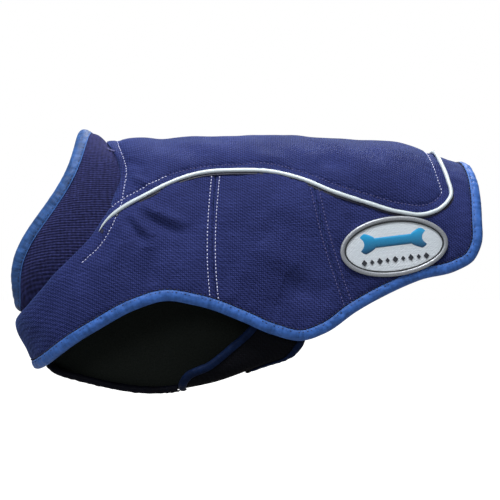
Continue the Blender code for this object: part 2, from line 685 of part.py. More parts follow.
def build_strap():
    """Belly strap, from the chest to the rear edge between the two folds."""
    start = chest_end + FLAP_SET_BACK / np.linalg.norm(slopes(body, np.array([chest_end, math.pi]))[0])
    edge = [(start, STRAP_FRONT_HALF_WIDTH)] + [(s, share * STRAP_HALF_WIDTH) for s, share in STRAP_EDGE]
    edge = edge + [(FOLD[0], FOLD_HALF_WIDTH - FOLD_GAP / 2)]
    left = curve_through(flap, [flap_place(*knot) for knot in edge])
    widths = np.linspace(1, -1, 41) * (FOLD_HALF_WIDTH - FOLD_GAP / 2)
    rear = even(flap, np.array([flap_place(FOLD[1], width) for width in widths]))
    room = edge_room(FLAP_STACK)
    side_shares = np.linspace(0, 1, STRAP_COLUMNS)
    across = np.linspace(0, 1, STRAP_ROWS)
    side = part_of(beside(flap, left, room), side_shares)
    back = part_of(beside(flap, rear, room), across)
    fold = mixed(flap_place(*edge[-1]), back[0], np.linspace(0, 1, FOLD_COLUMNS))
    top = np.concatenate([side, fold[1:]])
    other = top * [1, -1] + [0, 2 * math.pi]
    places = patch(top, other, mixed(top[0], other[0], across), back, across)
    add_layer("belly_strap", flap, places, 0, FLAP_SHELL_THICKNESS, shell_navy)
    add_layer("belly_strap_lining", flap, places, FLAP_LINING_DEPTH, FLAP_LINING_THICKNESS, lining_black)
    grids = binding_grids(flap, left, side_shares, 1, FLAP_BINDING_WIDTH, FLAP_STACK)
    grids = [grid[:-1] for grid in grids]
    add_ply("left_strap_binding", *grids, binding_blue)
    add_ply("right_strap_binding", *(grid * MIRROR for grid in grids), binding_blue)
    add_ply("rear_strap_binding", *binding_grids(flap, rear, across, 1, FLAP_BINDING_WIDTH, FLAP_STACK),
            binding_blue)
    build_leg_gussets(start)


def build_leg_gussets(start):
    """Black gussets that stand up from the strap, between the dog's chest and its forelegs."""
    knots = np.array([(start, STRAP_FRONT_HALF_WIDTH / STRAP_HALF_WIDTH), *STRAP_EDGE, (FOLD[0], 1.3)])
    columns = []
    top = np.array(LEG_GUSSET_TOP)
    run = np.concatenate([[0], np.cumsum(np.linalg.norm(np.diff(top, axis=0), axis=1))])
    for share in np.linspace(0, 1, LEG_GUSSET_COLUMNS):
        s = np.interp(share, (0, 1), (start + LEG_GUSSET_FOOT[0], LEG_GUSSET_FOOT[1]))
        width = np.interp(s, knots[:, 0], knots[:, 1]) * STRAP_HALF_WIDTH - LEG_GUSSET_INSET
        foot = skin(flap, np.array(flap_place(s, width)), FLAP_STACK + LEG_GUSSET_CLEARANCE)
        along, down = (np.interp(share * run[-1], run, top[:, k]) for k in (0, 1))
        head = in_metres(along, 0.0, down) + [0, foot[1] - LEG_GUSSET_LEAN, 0]
        columns.append(mixed(head, foot, np.linspace(0, 1, LEG_GUSSET_ROWS)))
    outer = np.stack(columns, 1)
    inner = outer + [0, LEG_GUSSET_THICKNESS, 0]
    add_ply("left_leg_gusset", outer, inner, lining_black)
    add_ply("right_leg_gusset", outer * MIRROR, inner * MIRROR, lining_black)


def build_wings():
    """The flap's wings, with the hook tape on each and the loop tape inside the coat's side."""
    ends = [flap_place(s, FOLD_HALF_WIDTH + FOLD_GAP / 2) for s in FOLD]
    outline = curve_through(flap, [ends[0], *(seen_at(*p) for p in WING), ends[1]])
    cloth = beside(flap, outline, edge_room(FLAP_STACK))
    corners = [share_near(outline, seen_at(*p)) for p in WING_CORNERS]
    front_shares = np.linspace(0, corners[0], WING_ROWS)
    top_shares = np.linspace(*corners, WING_COLUMNS)
    rear_shares = np.linspace(corners[1], 1, WING_ROWS)
    front, top, rear = (part_of(cloth, shares) for shares in (front_shares, top_shares, rear_shares))
    rows = np.linspace(0, 1, WING_ROWS)
    places = patch(top, mixed(front[0], rear[-1], np.linspace(0, 1, WING_COLUMNS)), front[::-1], rear, rows)
    add_layer("left_wing", flap, places, 0, FLAP_SHELL_THICKNESS, shell_navy, mirror_name="right_wing")
    add_layer("left_wing_lining", flap, places, FLAP_LINING_DEPTH, FLAP_LINING_THICKNESS, lining_black,
              mirror_name="right_wing_lining")
    shares = np.concatenate([front_shares, top_shares[1:], rear_shares[1:]])
    grids = binding_grids(flap, outline, shares, 1, FLAP_BINDING_WIDTH, FLAP_STACK)
    add_ply("left_wing_binding", *grids, binding_blue)
    add_ply("right_wing_binding", *(grid * MIRROR for grid in grids), binding_blue)
    taped = places[TAPE_ROWS, TAPE_COLUMNS]
    add_layer("left_hook_tape", flap, taped, -PLY_GAP - HOOK_TAPE_THICKNESS, HOOK_TAPE_THICKNESS,
              tape_black, mirror_name="right_hook_tape")
    add_layer("left_loop_tape", body, taped, LOOP_DEPTH, LOOP_TAPE_THICKNESS, tape_black,
              mirror_name="right_loop_tape")


def build_lead_slot_tacks():
    """A bar of close stitches across the seam at each end of the lead slot."""
    turns = np.linspace(0, math.pi / 2, 200)
    reach = np.abs(body(np.stack([np.zeros_like(turns), turns], -1))[:, 1])
    turn = np.interp(LEAD_SLOT_LENGTH / 2 + 0.001, reach, turns)
    lift = -TACK_RADIUS - PLY_GAP
    points = np.array([skin(collar, np.array([0.16, turn]), lift), skin(body, np.array([0.008, turn]), lift)])
    add_cord("left_lead_slot_tack", points, TACK_RADIUS, thread_grey, sides=1)
    add_cord("right_lead_slot_tack", points * MIRROR, TACK_RADIUS, thread_grey, sides=1)


build_body()
build_collar()
build_trims()
build_threads()
build_badge()
build_lead_slot_tacks()
build_strap()
build_wings()
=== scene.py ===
"""Finish of the padded dog coat: padded panels, knitted collar, bound edges, sewing and badge.

A place on the coat is the pair of numbers that the model uses: (s, turn) on the body, (rise, turn) on
the collar. Every visible surface is worked out from those places, in metres, in the frame's own axes.
"""

import math

import bpy
import numpy as np
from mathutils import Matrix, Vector


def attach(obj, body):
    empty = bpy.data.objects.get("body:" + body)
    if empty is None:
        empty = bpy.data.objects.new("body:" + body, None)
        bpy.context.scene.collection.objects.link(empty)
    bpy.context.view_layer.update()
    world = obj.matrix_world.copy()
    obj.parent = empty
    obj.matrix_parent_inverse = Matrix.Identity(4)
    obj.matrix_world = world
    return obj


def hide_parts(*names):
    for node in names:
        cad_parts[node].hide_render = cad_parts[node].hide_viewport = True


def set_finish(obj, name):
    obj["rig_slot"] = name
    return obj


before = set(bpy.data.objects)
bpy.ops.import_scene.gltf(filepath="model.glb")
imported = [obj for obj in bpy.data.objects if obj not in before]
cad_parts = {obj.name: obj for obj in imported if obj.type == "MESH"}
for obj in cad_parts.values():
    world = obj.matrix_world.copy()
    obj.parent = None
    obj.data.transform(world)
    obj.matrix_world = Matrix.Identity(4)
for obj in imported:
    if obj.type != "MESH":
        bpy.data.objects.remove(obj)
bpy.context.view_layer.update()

# Overall sizes
BACK_LENGTH = 0.350  # collar seam to tail edge, along the spine
CHEST_DEPTH = 0.238  # top of the back to the belly
CHEST_WIDTH = 0.164  # across the ribs

# Plies of the padded cloth, from the outside in
SHELL_THICKNESS = 0.0008
WADDING_THICKNESS = 0.0030
LINING_THICKNESS = 0.0006
PLY_GAP = 0.00055  # air between two plies
WADDING_DEPTH = SHELL_THICKNESS + PLY_GAP
LINING_DEPTH = WADDING_DEPTH + WADDING_THICKNESS + PLY_GAP
STACK = LINING_DEPTH + LINING_THICKNESS

# Seams and trims
SEAM_GAP = 0.0004  # between neighbouring pieces
FOLD_ROOM = 0.0017  # between cloth and the binding folded over it
BINDING_WIDTH = 0.0095
NECK_BINDING_WIDTH = 0.0115
BINDING_THICKNESS = 0.0007
PIPING_RADIUS = 0.0020
PIPING_LIFT = 0.6 * PIPING_RADIUS  # of the cord's middle above the shell
TWIN_SPACING = 0.0072  # between the two rows of a twin-stitched seam
STITCH_MARGIN = 0.0085  # from the piping to its row of topstitching
LEAD_SLOT_LENGTH = 0.060
LEAD_SLOT_WIDTH = 0.0075

# Badge
BADGE_CENTRE = (0.754, 0.426)
BADGE_LENGTH = 0.094  # to the middle of the rim
BADGE_HEIGHT = 0.049
BADGE_TILT = math.radians(7.0)
BADGE_RIM_RADIUS = 0.0019

# Belly flap and its tapes
FLAP_SHELL_THICKNESS = 0.0008
FLAP_LINING_THICKNESS = 0.0006
FLAP_BINDING_WIDTH = 0.0070
STRAP_HALF_WIDTH = 0.033
STRAP_FRONT_HALF_WIDTH = 0.026
FOLD_HALF_WIDTH = 0.045  # from the belly's middle to a wing's fold
LOOP_TAPE_THICKNESS = 0.0018
HOOK_TAPE_THICKNESS = 0.0012
LEG_GUSSET_INSET = 0.0112  # from the strap's edge to the foot of a leg gusset
LEG_GUSSET_LEAN = 0.005  # how much wider apart the gussets stand at their tops
LEG_GUSSET_THICKNESS = 0.0012
LEG_GUSSET_CLEARANCE = 0.0012  # from the strap's lining to a gusset's foot
FOLD_GAP = 0.0016  # between the strap and a wing, for the fold to bend
LOOP_DEPTH = STACK + PLY_GAP
HOOK_DEPTH = LOOP_DEPTH + LOOP_TAPE_THICKNESS + PLY_GAP
FLAP_DEPTH = HOOK_DEPTH + HOOK_TAPE_THICKNESS + PLY_GAP
FLAP_LINING_DEPTH = FLAP_SHELL_THICKNESS + PLY_GAP
FLAP_STACK = FLAP_LINING_DEPTH + FLAP_LINING_THICKNESS
WING_FLAT = 0.95 * CHEST_WIDTH / 2 - FLAP_DEPTH - 0.0008  # from the middle to a wing's flat upper part
WING_BEND = 0.0008  # over which a wing turns from the form to its flat part
TAPE_ROWS = slice(1, 4)  # rows and columns of the wing that its tape covers
TAPE_COLUMNS = slice(3, -2)

# The form: one row for each tenth of s. Spine point (along, down), belly point (along, down), how far
# the section bows towards the tail, half-width as a share of the widest, and the squareness of the
# lower half of the section.
FORM = [
    (0.000, 0.008, -0.226, 0.690, 0.125, 0.66, 2.2),
    (0.076, 0.006, -0.243, 0.735, 0.080, 0.76, 2.2),
    (0.150, 0.012, -0.214, 0.825, 0.045, 0.86, 2.3),
    (0.225, 0.004, -0.160, 0.952, 0.022, 0.94, 2.4),
    (0.300, 0.001, -0.045, 1.003, 0.008, 0.99, 2.8),
    (0.380, -0.003, 0.120, 1.034, 0.000, 1.00, 4.0),
    (0.470, -0.004, 0.290, 0.996, 0.000, 0.98, 6.0),
    (0.580, 0.004, 0.450, 0.915, 0.000, 0.95, 7.0),
    (0.700, 0.013, 0.630, 0.850, 0.000, 0.91, 6.0),
    (0.840, 0.038, 0.830, 0.780, 0.000, 0.86, 4.4),
    (1.000, 0.120, 1.030, 0.720, 0.000, 0.79, 3.4),
    (1.160, 0.210, 1.230, 0.660, 0.000, 0.71, 3.0),
]
ROW_STEP = 0.1
UPPER_SQUARENESS = 2.2

# The neck edge: spine point, belly point, its sway and bow, and half-width share
NECK_TOP = (-0.073, -0.036)
NECK_BOTTOM = (-0.243, 0.650)
NECK_SWAY = 0.026
NECK_BOW = 0.012
NECK_WIDTH = 0.58
COLLAR_SWELL = 0.0015  # how far the middle of the collar stands out

# Outlines, from the chest to the tail
HEM_START = (-0.182, 0.904)
HEM = [
    (-0.088, 0.824), (0.016, 0.727), (0.105, 0.659), (0.176, 0.630), (0.260, 0.650), (0.361, 0.703),
    (0.447, 0.757), (0.522, 0.781), (0.585, 0.750), (0.660, 0.673), (0.745, 0.604), (0.828, 0.552),
    (0.920, 0.518), (0.963, 0.481), (0.984, 0.420), (0.987, 0.320), (0.987, 0.200),
]
HEM_END = (0.978, 0.108)
PIPING_START = (0.012, 0.330)
PIPING = [
    (0.029, 0.306), (0.060, 0.282), (0.114, 0.240), (0.191, 0.183), (0.267, 0.149), (0.363, 0.140),
    (0.448, 0.146), (0.517, 0.171), (0.601, 0.221), (0.688, 0.263), (0.773, 0.298), (0.832, 0.306),
    (0.880, 0.279), (0.905, 0.235), (0.900, 0.170), (0.888, 0.100),
]
PIPING_END = (0.883, 0.060)
FRONT_SEAM = (0.299, 0.297)  # along, on the piping and on the hem
REAR_SEAM = (0.550, 0.647)

# Belly flap: the strap's edge as (s, share of STRAP_HALF_WIDTH)
FLAP_SET_BACK = 0.0028  # from the hem at the chest to the front of the flap
STRAP_EDGE = [(0.34, 0.92), (0.42, 0.94), (0.48, 1.04), (0.52, 1.20)]
FOLD = (0.550, 0.672)  # s of the fold's two ends
WING = [
    (0.215, 0.935), (0.284, 0.868), (0.337, 0.800), (0.385, 0.735), (0.415, 0.670), (0.438, 0.595),
    (0.475, 0.565), (0.515, 0.572), (0.540, 0.612), (0.545, 0.682), (0.538, 0.755), (0.528, 0.825),
    (0.504, 0.882),
]
LEG_GUSSET_TOP = [
    (-0.130, 0.850), (-0.088, 0.775), (0.016, 0.675), (0.105, 0.608), (0.176, 0.578), (0.260, 0.590),
    (0.361, 0.640), (0.440, 0.672),
]
LEG_GUSSET_FOOT = (0.018, 0.558)  # from the strap's front end to the foot's front, and s of its rear
WING_CORNERS = ((0.438, 0.595), (0.540, 0.612))  # where the wing's front and rear edges meet its top

# Rows and columns of the CAD's grids; the finish divides them further
SIDE_ROWS = np.array([0, 0.2, 0.4, 0.6, 0.8, 0.92, 0.96, 1.0])
CHEST_COLUMNS, LEG_COLUMNS, GUSSET_COLUMNS, FLANK_COLUMNS = 4, 12, 8, 10
SPINE_ROWS = 9
WING_ROWS, WING_COLUMNS = 13, 10


def smooth_step(t, here, there, leave, arrive):
    """Cubic from here to there, with these slopes at its ends."""
    return (
        (2 * t**3 - 3 * t**2 + 1) * here
        + (t**3 - 2 * t**2 + t) * leave
        + (3 * t**2 - 2 * t**3) * there
        + (t**3 - t**2) * arrive
    )


def blend(table, s):
    """The table's row at s, on a smooth curve through the rows."""
    table = np.asarray(table, float)
    at = np.asarray(s, float) / ROW_STEP
    i = np.clip(np.floor(at).astype(int), 0, len(table) - 2)
    t = (at - i)[..., None]
    last = len(table) - 1
    here, there = table[i], table[i + 1]
    before = np.where((i > 0)[..., None], table[np.maximum(i - 1, 0)], 2 * here - there)
    after = np.where((i + 2 <= last)[..., None], table[np.minimum(i + 2, last)], 2 * there - here)
    return smooth_step(t, here, there, (there - before) / 2, (after - here) / 2)


def rounding(turn, squareness):
    """Share of the way down a section, and of its half-width, on a superellipse at the angle turn."""
    c, w = np.cos(turn), np.sin(turn)
    n = np.where(c >= 0, UPPER_SQUARENESS, squareness)
    r = (np.abs(c) ** n + np.abs(w) ** n) ** (-1 / n)
    return (1 - r * c) / 2, r * w


def bow_shape(f):
    """Share of a section's bow at a share of the way down; nothing at either end."""
    return f * (1 - f) * (2 + 3.375 * (1 - f))


def in_metres(along, width, down):
    """Shares of the overall sizes turned into a point of the part's frame."""
    return np.stack([
        (along - 0.5) * BACK_LENGTH,
        -width * CHEST_WIDTH / 2,
        STACK - down * CHEST_DEPTH,
    ], -1)


def body(place):
    """Outer surface of the coat's body."""
    s, turn = place[..., 0], place[..., 1]
    row = blend(FORM, s)
    f, w = rounding(turn, row[..., 6])
    along = row[..., 0] + (row[..., 2] - row[..., 0]) * f + row[..., 4] * bow_shape(f)
    down = row[..., 1] + (row[..., 3] - row[..., 1]) * f
    return in_metres(along, row[..., 5] * w, down)


def collar(place):
    """Outer surface of the collar: straight from the collar seam to the neck edge, a little swollen."""
    rise, turn = place[..., 0], place[..., 1]
    f, w = rounding(turn, UPPER_SQUARENESS)
    along = NECK_TOP[0] + (NECK_BOTTOM[0] - NECK_TOP[0]) * f
    along = along + NECK_SWAY * np.sin(2 * math.pi * f) - NECK_BOW * np.sin(math.pi * f)
    down = NECK_TOP[1] + (NECK_BOTTOM[1] - NECK_TOP[1]) * f
    edge = in_metres(along, NECK_WIDTH * w, down)
    seam = body(np.stack([np.zeros_like(turn), turn], -1))
    swell = COLLAR_SWELL * np.sin(math.pi * rise)
    out = np.stack([np.zeros_like(turn), -np.sin(turn), np.cos(turn)], -1)
    return seam + (edge - seam) * rise[..., None] + out * swell[..., None]


def flap(place):
    """Outer surface of the belly flap: the form drawn in, with the upper part of each wing flat."""
    points = skin(body, place, FLAP_DEPTH)
    y = np.abs(points[..., 1])
    flat = WING_FLAT - WING_BEND * np.logaddexp(0, (WING_FLAT - y) / WING_BEND)
    points[..., 1] = np.sign(points[..., 1]) * flat
    return points


def unit(v):
    """The vectors made one long."""
    return v / np.linalg.norm(v, axis=-1, keepdims=True)


def slopes(face, place):
    """How the surface moves with each number of the place."""
    e = 1e-3
    first, second = np.array([e, 0.0]), np.array([0.0, e])
    return tuple((face(place + d) - face(place - d)) / (2 * e) for d in (first, second))


def normal(face, place):
    """Outward normal. The collar takes over the body's normal at the seam they share."""
    lengthwise, round_dog = slopes(face, place)
    out = unit(np.cross(round_dog, lengthwise))
    if face is not collar:
        return out
    rise, turn = place[..., 0], place[..., 1]
    seam = normal(body, np.stack([np.zeros_like(turn), turn], -1))
    share = np.clip(rise, 0, 1)[..., None]
    return unit(-out * share + seam * (1 - share))


def skin(face, place, depth=0.0):
    """Points at a depth under the coat's outer surface."""
    depth = np.asarray(depth, float)
    return face(place) - normal(face, place) * depth[..., None]


def move(face, place, step):
    """The place reached by a short 3-D step along the surface."""
    place = np.array(place, float)
    for _ in range(4):
        p, q = slopes(face, place)
        a, b, c = (p * p).sum(-1), (p * q).sum(-1), (q * q).sum(-1)
        x, y = (p * step).sum(-1) / 4, (q * step).sum(-1) / 4
        det = a * c - b * b
        place = place + np.stack([(c * x - b * y) / det, (a * y - b * x) / det], -1)
    return place


def on_middle(place):
    """Whether a line ending here crosses the middle of the dog, where the coat is symmetrical."""
    return abs(math.sin(place[1])) < 1e-6


def beside(face, line, distance):
    """The line moved sideways over the surface; positive is to the right, seen from outside."""
    along = unit(np.gradient(face(line), axis=0))
    across = np.cross(along, normal(face, line))
    moved = move(face, line, across * distance)
    for end in (0, -1):
        if on_middle(line[end]):
            moved[end, 1] = line[end, 1]
    return moved


def seen_at(along, down):
    """The place on the body's left side that is seen from the left at (along, down)."""
    low, high = -0.2, 1.1
    for _ in range(50):
        s = (low + high) / 2
        row = blend(FORM, s)
        f = min(max((down - row[1]) / (row[3] - row[1]), 0), 1)
        here = row[0] + (row[2] - row[0]) * f + row[4] * bow_shape(f)
        low, high = (s, high) if here < along else (low, s)
    c = 1 - 2 * f
    n = UPPER_SQUARENESS if c >= 0 else row[6]
    return s, math.atan2((1 - abs(c) ** n) ** (1 / n), c)


def turn_at(s, width):
    """turn of the place near the belly that is this far to the left of the middle."""
    low, high = math.pi / 2, math.pi
    for _ in range(40):
        turn = (low + high) / 2
        row = blend(FORM, s)
        here = row[5] * rounding(turn, row[6])[1] * CHEST_WIDTH / 2
        low, high = (turn, high) if here > width else (low, turn)
    return turn


def run_along(points):
    """Length run along the line up to each of its points."""
    return np.concatenate([[0], np.cumsum(np.linalg.norm(np.diff(points, axis=0), axis=1))])


def curve_through(face, knots, samples=241):
    """Smooth line of places through the knots, evenly spaced along the surface."""
    knots = np.array(knots, float)
    u = run_along(face(knots))
    slope = np.gradient(knots, u, axis=0)
    for end in (0, -1):
        if on_middle(knots[end]):
            slope[end, 0] = 0
    at = np.linspace(0, u[-1], 2000)
    i = np.clip(np.searchsorted(u, at, side="right") - 1, 0, len(u) - 2)
    gap = (u[i + 1] - u[i])[:, None]
    t = (at[:, None] - u[i][:, None]) / gap
    return even(face, smooth_step(t, knots[i], knots[i + 1], slope[i] * gap, slope[i + 1] * gap), samples)


def even(face, line, samples=241):
    """The same line, evenly spaced."""
    u = run_along(face(line))
    at = np.linspace(0, u[-1], samples)
    return np.stack([np.interp(at, u, line[:, k]) for k in (0, 1)], -1)


def part_of(line, shares):
    """Places at these shares of an evenly spaced line."""
    u = np.linspace(0, 1, len(line))
    return np.stack([np.interp(shares, u, line[:, k]) for k in (0, 1)], -1)


def share_at(line, along):
    """Share of the line where it first comes as far along as this."""
    reached = body(line)[:, 0] / BACK_LENGTH + 0.5 >= along
    return int(np.argmax(reached)) / (len(line) - 1)


def share_near(line, place):
    """Share of the line where it passes closest to a place."""
    return int(np.argmin(np.linalg.norm(body(line) - body(np.array(place)), axis=1))) / (len(line) - 1)


def mixed(a, b, shares):
    """Places or points spread from a to b."""
    shares = np.asarray(shares, float)[:, None]
    return np.asarray(a) * (1 - shares) + np.asarray(b) * shares


def patch(top, bottom, left, right, rows):
    """Grid of places filling four edges: rows run from top to bottom, columns from left to right."""
    u = np.linspace(0, 1, len(top))[None, :, None]
    v = rows[:, None, None]
    corners = (
        (1 - u) * (1 - v) * top[0]
        + u * (1 - v) * top[-1]
        + (1 - u) * v * bottom[0]
        + u * v * bottom[-1]
    )
    return (1 - v) * top[None] + v * bottom[None] + (1 - u) * left[:, None] + u * right[:, None] - corners


def drawn_in(grid, top=0.0, bottom=0.0, left=0.0, right=0.0):
    """The grid of points with its edges drawn in by these distances."""
    grid = grid.copy()
    for edge, inner, by in (
        (grid[0], grid[1], top),
        (grid[-1], grid[-2], bottom),
        (grid[:, 0], grid[:, 1], left),
        (grid[:, -1], grid[:, -2], right),
    ):
        edge += unit(inner - edge) * np.asarray(by)[..., None]
    return grid


MIRROR = np.array([1, -1, 1])
SIDES = (("left", np.ones(3, int)), ("right", MIRROR))


def edge_room(stack):
    """From the outside of a bound edge to the cloth's own edge."""
    return stack / 2 + FOLD_ROOM + BINDING_THICKNESS + SEAM_GAP


def both_sides(line):
    """A line of points on the left that ends on the middle, carried on down the right."""
    return np.concatenate([line, (line * MIRROR)[-2::-1]])


def seam_line(upper, lower, top_share, bottom_share):
    """A seam down a side, from the piping to the hem."""
    top = part_of(upper, [top_share])[0]
    bottom = part_of(lower, [bottom_share])[0]
    return mixed(top, bottom, SIDE_ROWS)


def badge_places(across, up):
    """Places on the badge, from distances along and up from its middle."""
    centre = np.array(seen_at(*BADGE_CENTRE))
    out = normal(body, centre)
    level = unit(np.array([1.0, 0.0, 0.0]) - out * out[0])
    rise = np.cross(level, out)
    rise = rise * np.sign(rise[2])
    c, w = math.cos(BADGE_TILT), math.sin(BADGE_TILT)
    step = (across * c - up * w)[..., None] * level + (across * w + up * c)[..., None] * rise
    return move(body, np.broadcast_to(centre, (*step.shape[:-1], 2)), step)


def disc(half_length, half_height, columns, rows):
    """A square grid rounded into an ellipse."""
    x, y = np.meshgrid(np.linspace(-1, 1, columns), np.linspace(1, -1, rows))
    return half_length * x * np.sqrt(1 - y * y / 2), half_height * y * np.sqrt(1 - x * x / 2)


def flap_place(s, width):
    """Place on the belly this far to the left of the dog's middle; negative is to the right."""
    turn = turn_at(s, abs(width))
    return s, turn if width >= 0 else 2 * math.pi - turn


# Lines of places
chest_end = seen_at(*HEM_START)[0]
hem = curve_through(body, [(chest_end, math.pi), *(seen_at(*p) for p in HEM), (seen_at(*HEM_END)[0], 0)])
piping_knots = [(0, seen_at(*PIPING_START)[1]), *(seen_at(*p) for p in PIPING), (seen_at(*PIPING_END)[0], 0)]
piping = curve_through(body, piping_knots)
cloth_edge = beside(body, hem, -edge_room(STACK))

front_on_piping, rear_on_piping = share_at(piping, FRONT_SEAM[0]), share_at(piping, REAR_SEAM[0])
front_on_hem, rear_on_hem = share_at(hem, FRONT_SEAM[1]), share_at(hem, REAR_SEAM[1])
corner_on_piping = int(np.argmax(body(piping)[:, 0])) / (len(piping) - 1)

shoulder_shares = np.linspace(0, front_on_piping, CHEST_COLUMNS + LEG_COLUMNS - 1)
gusset_shares = np.linspace(front_on_piping, rear_on_piping, GUSSET_COLUMNS)
flank_shares = np.linspace(rear_on_piping, corner_on_piping, FLANK_COLUMNS)
tail_shares = np.linspace(corner_on_piping, 1, SPINE_ROWS // 2 + 1)
rear_shares = np.concatenate([flank_shares, tail_shares[1:]])
leg_hem_shares = np.linspace(0, front_on_hem, LEG_COLUMNS)
gusset_hem_shares = np.linspace(front_on_hem, rear_on_hem, GUSSET_COLUMNS)
rear_hem_shares = np.linspace(rear_on_hem, 1, len(rear_shares))


# Settings of the finish
CREASE_DEPTH = 2.4  # times the heights listed in CREASES
EDGE_SOFTNESS = 0.0009  # how far a panel's edge rounds over at a seam
SIDE_PUFF = 0.0009  # how far the wadding stands up away from the seams
SPINE_PUFF = 0.0034
PUFF_REACH = 0.011  # from a seam to where the wadding is nearly full
PUCKER_HEIGHT = 0.00022
SEWING_PUCKERS = (0.0068, 2.2, 0.03, 3)  # pitch, unevenness, and its wavelength and seed
HEM_PUCKERS = (0.0105, 2.5, 0.04, 5)
PIPING_PUCKERS = (0.0085, 2.0, 0.03, 6)
HEM_PUCKER_HEIGHT = 0.00035
SEWING_REACH, HEM_REACH, PIPING_REACH = 0.007, 0.009, 0.010  # how far the puckers run into the cloth
HEM_FLAT = (0.75, 0.7)  # start and length of the relief's rise, as shares of the binding's width
COLLAR_RIDGE = (0.0010, 0.0022, 0.0016)  # height, distance from the collar seam, half-width
NAPE = (0.014, 0.02)  # half-width of the nape, where the ridge fades out, and of the fade
NAPE_SINK = (0.0016, 0.006)  # depth of the hollow at the nape seam, and its reach
BROAD_RIPPLES = (0.0009, 0.075, 7)  # height, wavelength and seed
FINE_RIPPLES = (0.0004, 0.028, 8)
BADGE_FLAT = (1.22, 0.2)  # edge and fade of the flat cloth under the badge, as shares of its size
BADGE_SINK = 0.0001
LINING_RIPPLE = 0.0007
STITCH_PITCH = 0.0033
EDGE_STITCH_PITCH = 0.0038  # along the bindings
COLLAR_ROW_TOP = 0.042  # s on the spine of the row of topstitching behind the collar seam
COLLAR_ROW = [(0.056, 0.085), (0.064, 0.161), (0.053, 0.290), (0.008, 0.413), (-0.043, 0.490)]
PIPING_TIP = [(0.0030, 0.372), (0.0085, 0.3575)]  # where the piping tapers into the collar seam
STITCH_RADIUS = 0.00042
TACK_STITCHES, TACK_HALF_WIDTH = 14, 0.0009  # of the bars at the ends of the lead slot
SLOT_OPENING = 0.08  # how far the lips of the lead slot stand apart, as a share of its width
PIPING_SHADED_STRETCH = (80, 400)  # samples of 500 between which the one row along the piping is in the darker mid thread, painted shade on the same thread as its light ends
COLLAR_SAMPLES = 36  # from the neck edge to the collar seam
COLLAR_PUFF = 0.0010
COLLAR_SINK = (0.0016, 0.004)  # depth of the collar's fall into its seam, and its reach
TAPE_SAMPLES = 9  # across each leg of a binding
FOLD_SAMPLES = 11  # round its fold
TAPE_PRESS = (0.55, 0.45, 0.6)  # how a leg rises from its sewn edge: start, gain and power
TAPE_PUCKERS = (0.0082, 2.6, 0.03)  # pitch, unevenness and its wavelength
TAPE_RIPPLES = (0.00025, 0.011)
# Thin tube along each tape's sewn edge, in a lighter blue than the tape: a painted highlight on its folded
# edge
TAPE_HIGHLIGHT_RADIUS, TAPE_HIGHLIGHT_LIFT = 0.00035, 0.0012
TAPE_SEWING_LIFT = 0.0014
HEM_SEWING_INSET, NECK_SEWING_INSET = 0.0013, 0.0015  # from the tape's sewn edge
HEM_SAMPLES, TRIM_SAMPLES = 900, 700
PIPING_TAPER = (0.05, 0.06, 0.7)  # share of the cord that tapers, its thinnest and the taper's power
SHADOW_FLANGE = (0.0008, 0.0036)  # from the piping's middle to the flange's two edges; the flange, drawn in dark thread on the side panels' side of the cord, is a painted shadow under it
SHADOW_FLANGE_TOP, SHADOW_FLANGE_FOOT = 0.0005, 0.0003  # above and below the plain form

# Badge, above the cloth and in its own plane
BADGE_BASE = 0.0012
FIELD_FOOT, FIELD_TOP = 0.0006, 0.0021
BONE_HALF_LENGTH, BONE_RISE = 0.030, 0.0050
BONE_HALF_WIDTH, BONE_KNOB = 0.0044, 0.0048  # of the shank, and what the ends add
DIAMOND_SIZE, DIAMOND_PITCH, DIAMOND_DROP, DIAMONDS = 0.0030, 0.0070, 0.0115, 9

# Studio
FLOOR_REACH, FLOOR_LEVEL = 6.0, -0.40
WORLD_STRENGTH = 0.45
WORLD_FALL = (-0.1, 0.9, 0.12, 1.0)  # height of the ray from and to, brightness from and to
LIGHTS = [  # name, place, target, power, width
    ("key", (-0.20, -0.70, 1.40), (0, 0, -0.05), 36, 0.6),
    ("front", (-0.7, -1.5, 0.5), (0, 0, -0.1), 6, 0.5),
    ("rim", (0.3, 0.9, 1.3), (0, 0, 0), 24, 0.8),
]
CAMERA_PLACE = (-0.0390, -1.164, -0.0991)
CAMERA_LENS = 88.06


def ripples(points, wavelength, seed, stretch=(1, 1, 1)):
    """Smooth uneven ripples from about -1 to 1: a sum of plane waves in directions drawn at random."""
    draw = np.random.default_rng(seed)
    waves = unit(draw.normal(size=(12, 3))) * draw.uniform(0.7, 1.4, (12, 1)) * 2 * math.pi / wavelength
    phase = draw.uniform(0, 2 * math.pi, 12)
    return np.sin((points / np.array(stretch)) @ waves.T + phase).sum(-1) / 4


def puckers(points, run, pitch, unevenness, wavelength, seed):
    """Wave of puckers along a line, its phase wandering from place to place."""
    return np.sin(2 * math.pi * run / pitch + unevenness * ripples(points, wavelength, seed))


def nearest(points, line):
    """Distance from each point to a dense line of points, and the length run along it to there."""
    run = run_along(line)
    flat = points.reshape(-1, 3)
    gap = (flat**2).sum(1)[:, None] + (line**2).sum(1)[None] - 2 * flat @ line.T
    closest = gap.argmin(1)
    distance = np.sqrt(np.maximum(gap[np.arange(len(flat)), closest], 0))
    return distance.reshape(points.shape[:-1]), run[closest].reshape(points.shape[:-1])


def dense(points, spacing=0.0008):
    """The line of points, resampled at this spacing."""
    run = run_along(points)
    at = np.linspace(0, run[-1], int(run[-1] / spacing) + 2)
    return np.stack([np.interp(at, run, points[:, k]) for k in range(3)], -1)


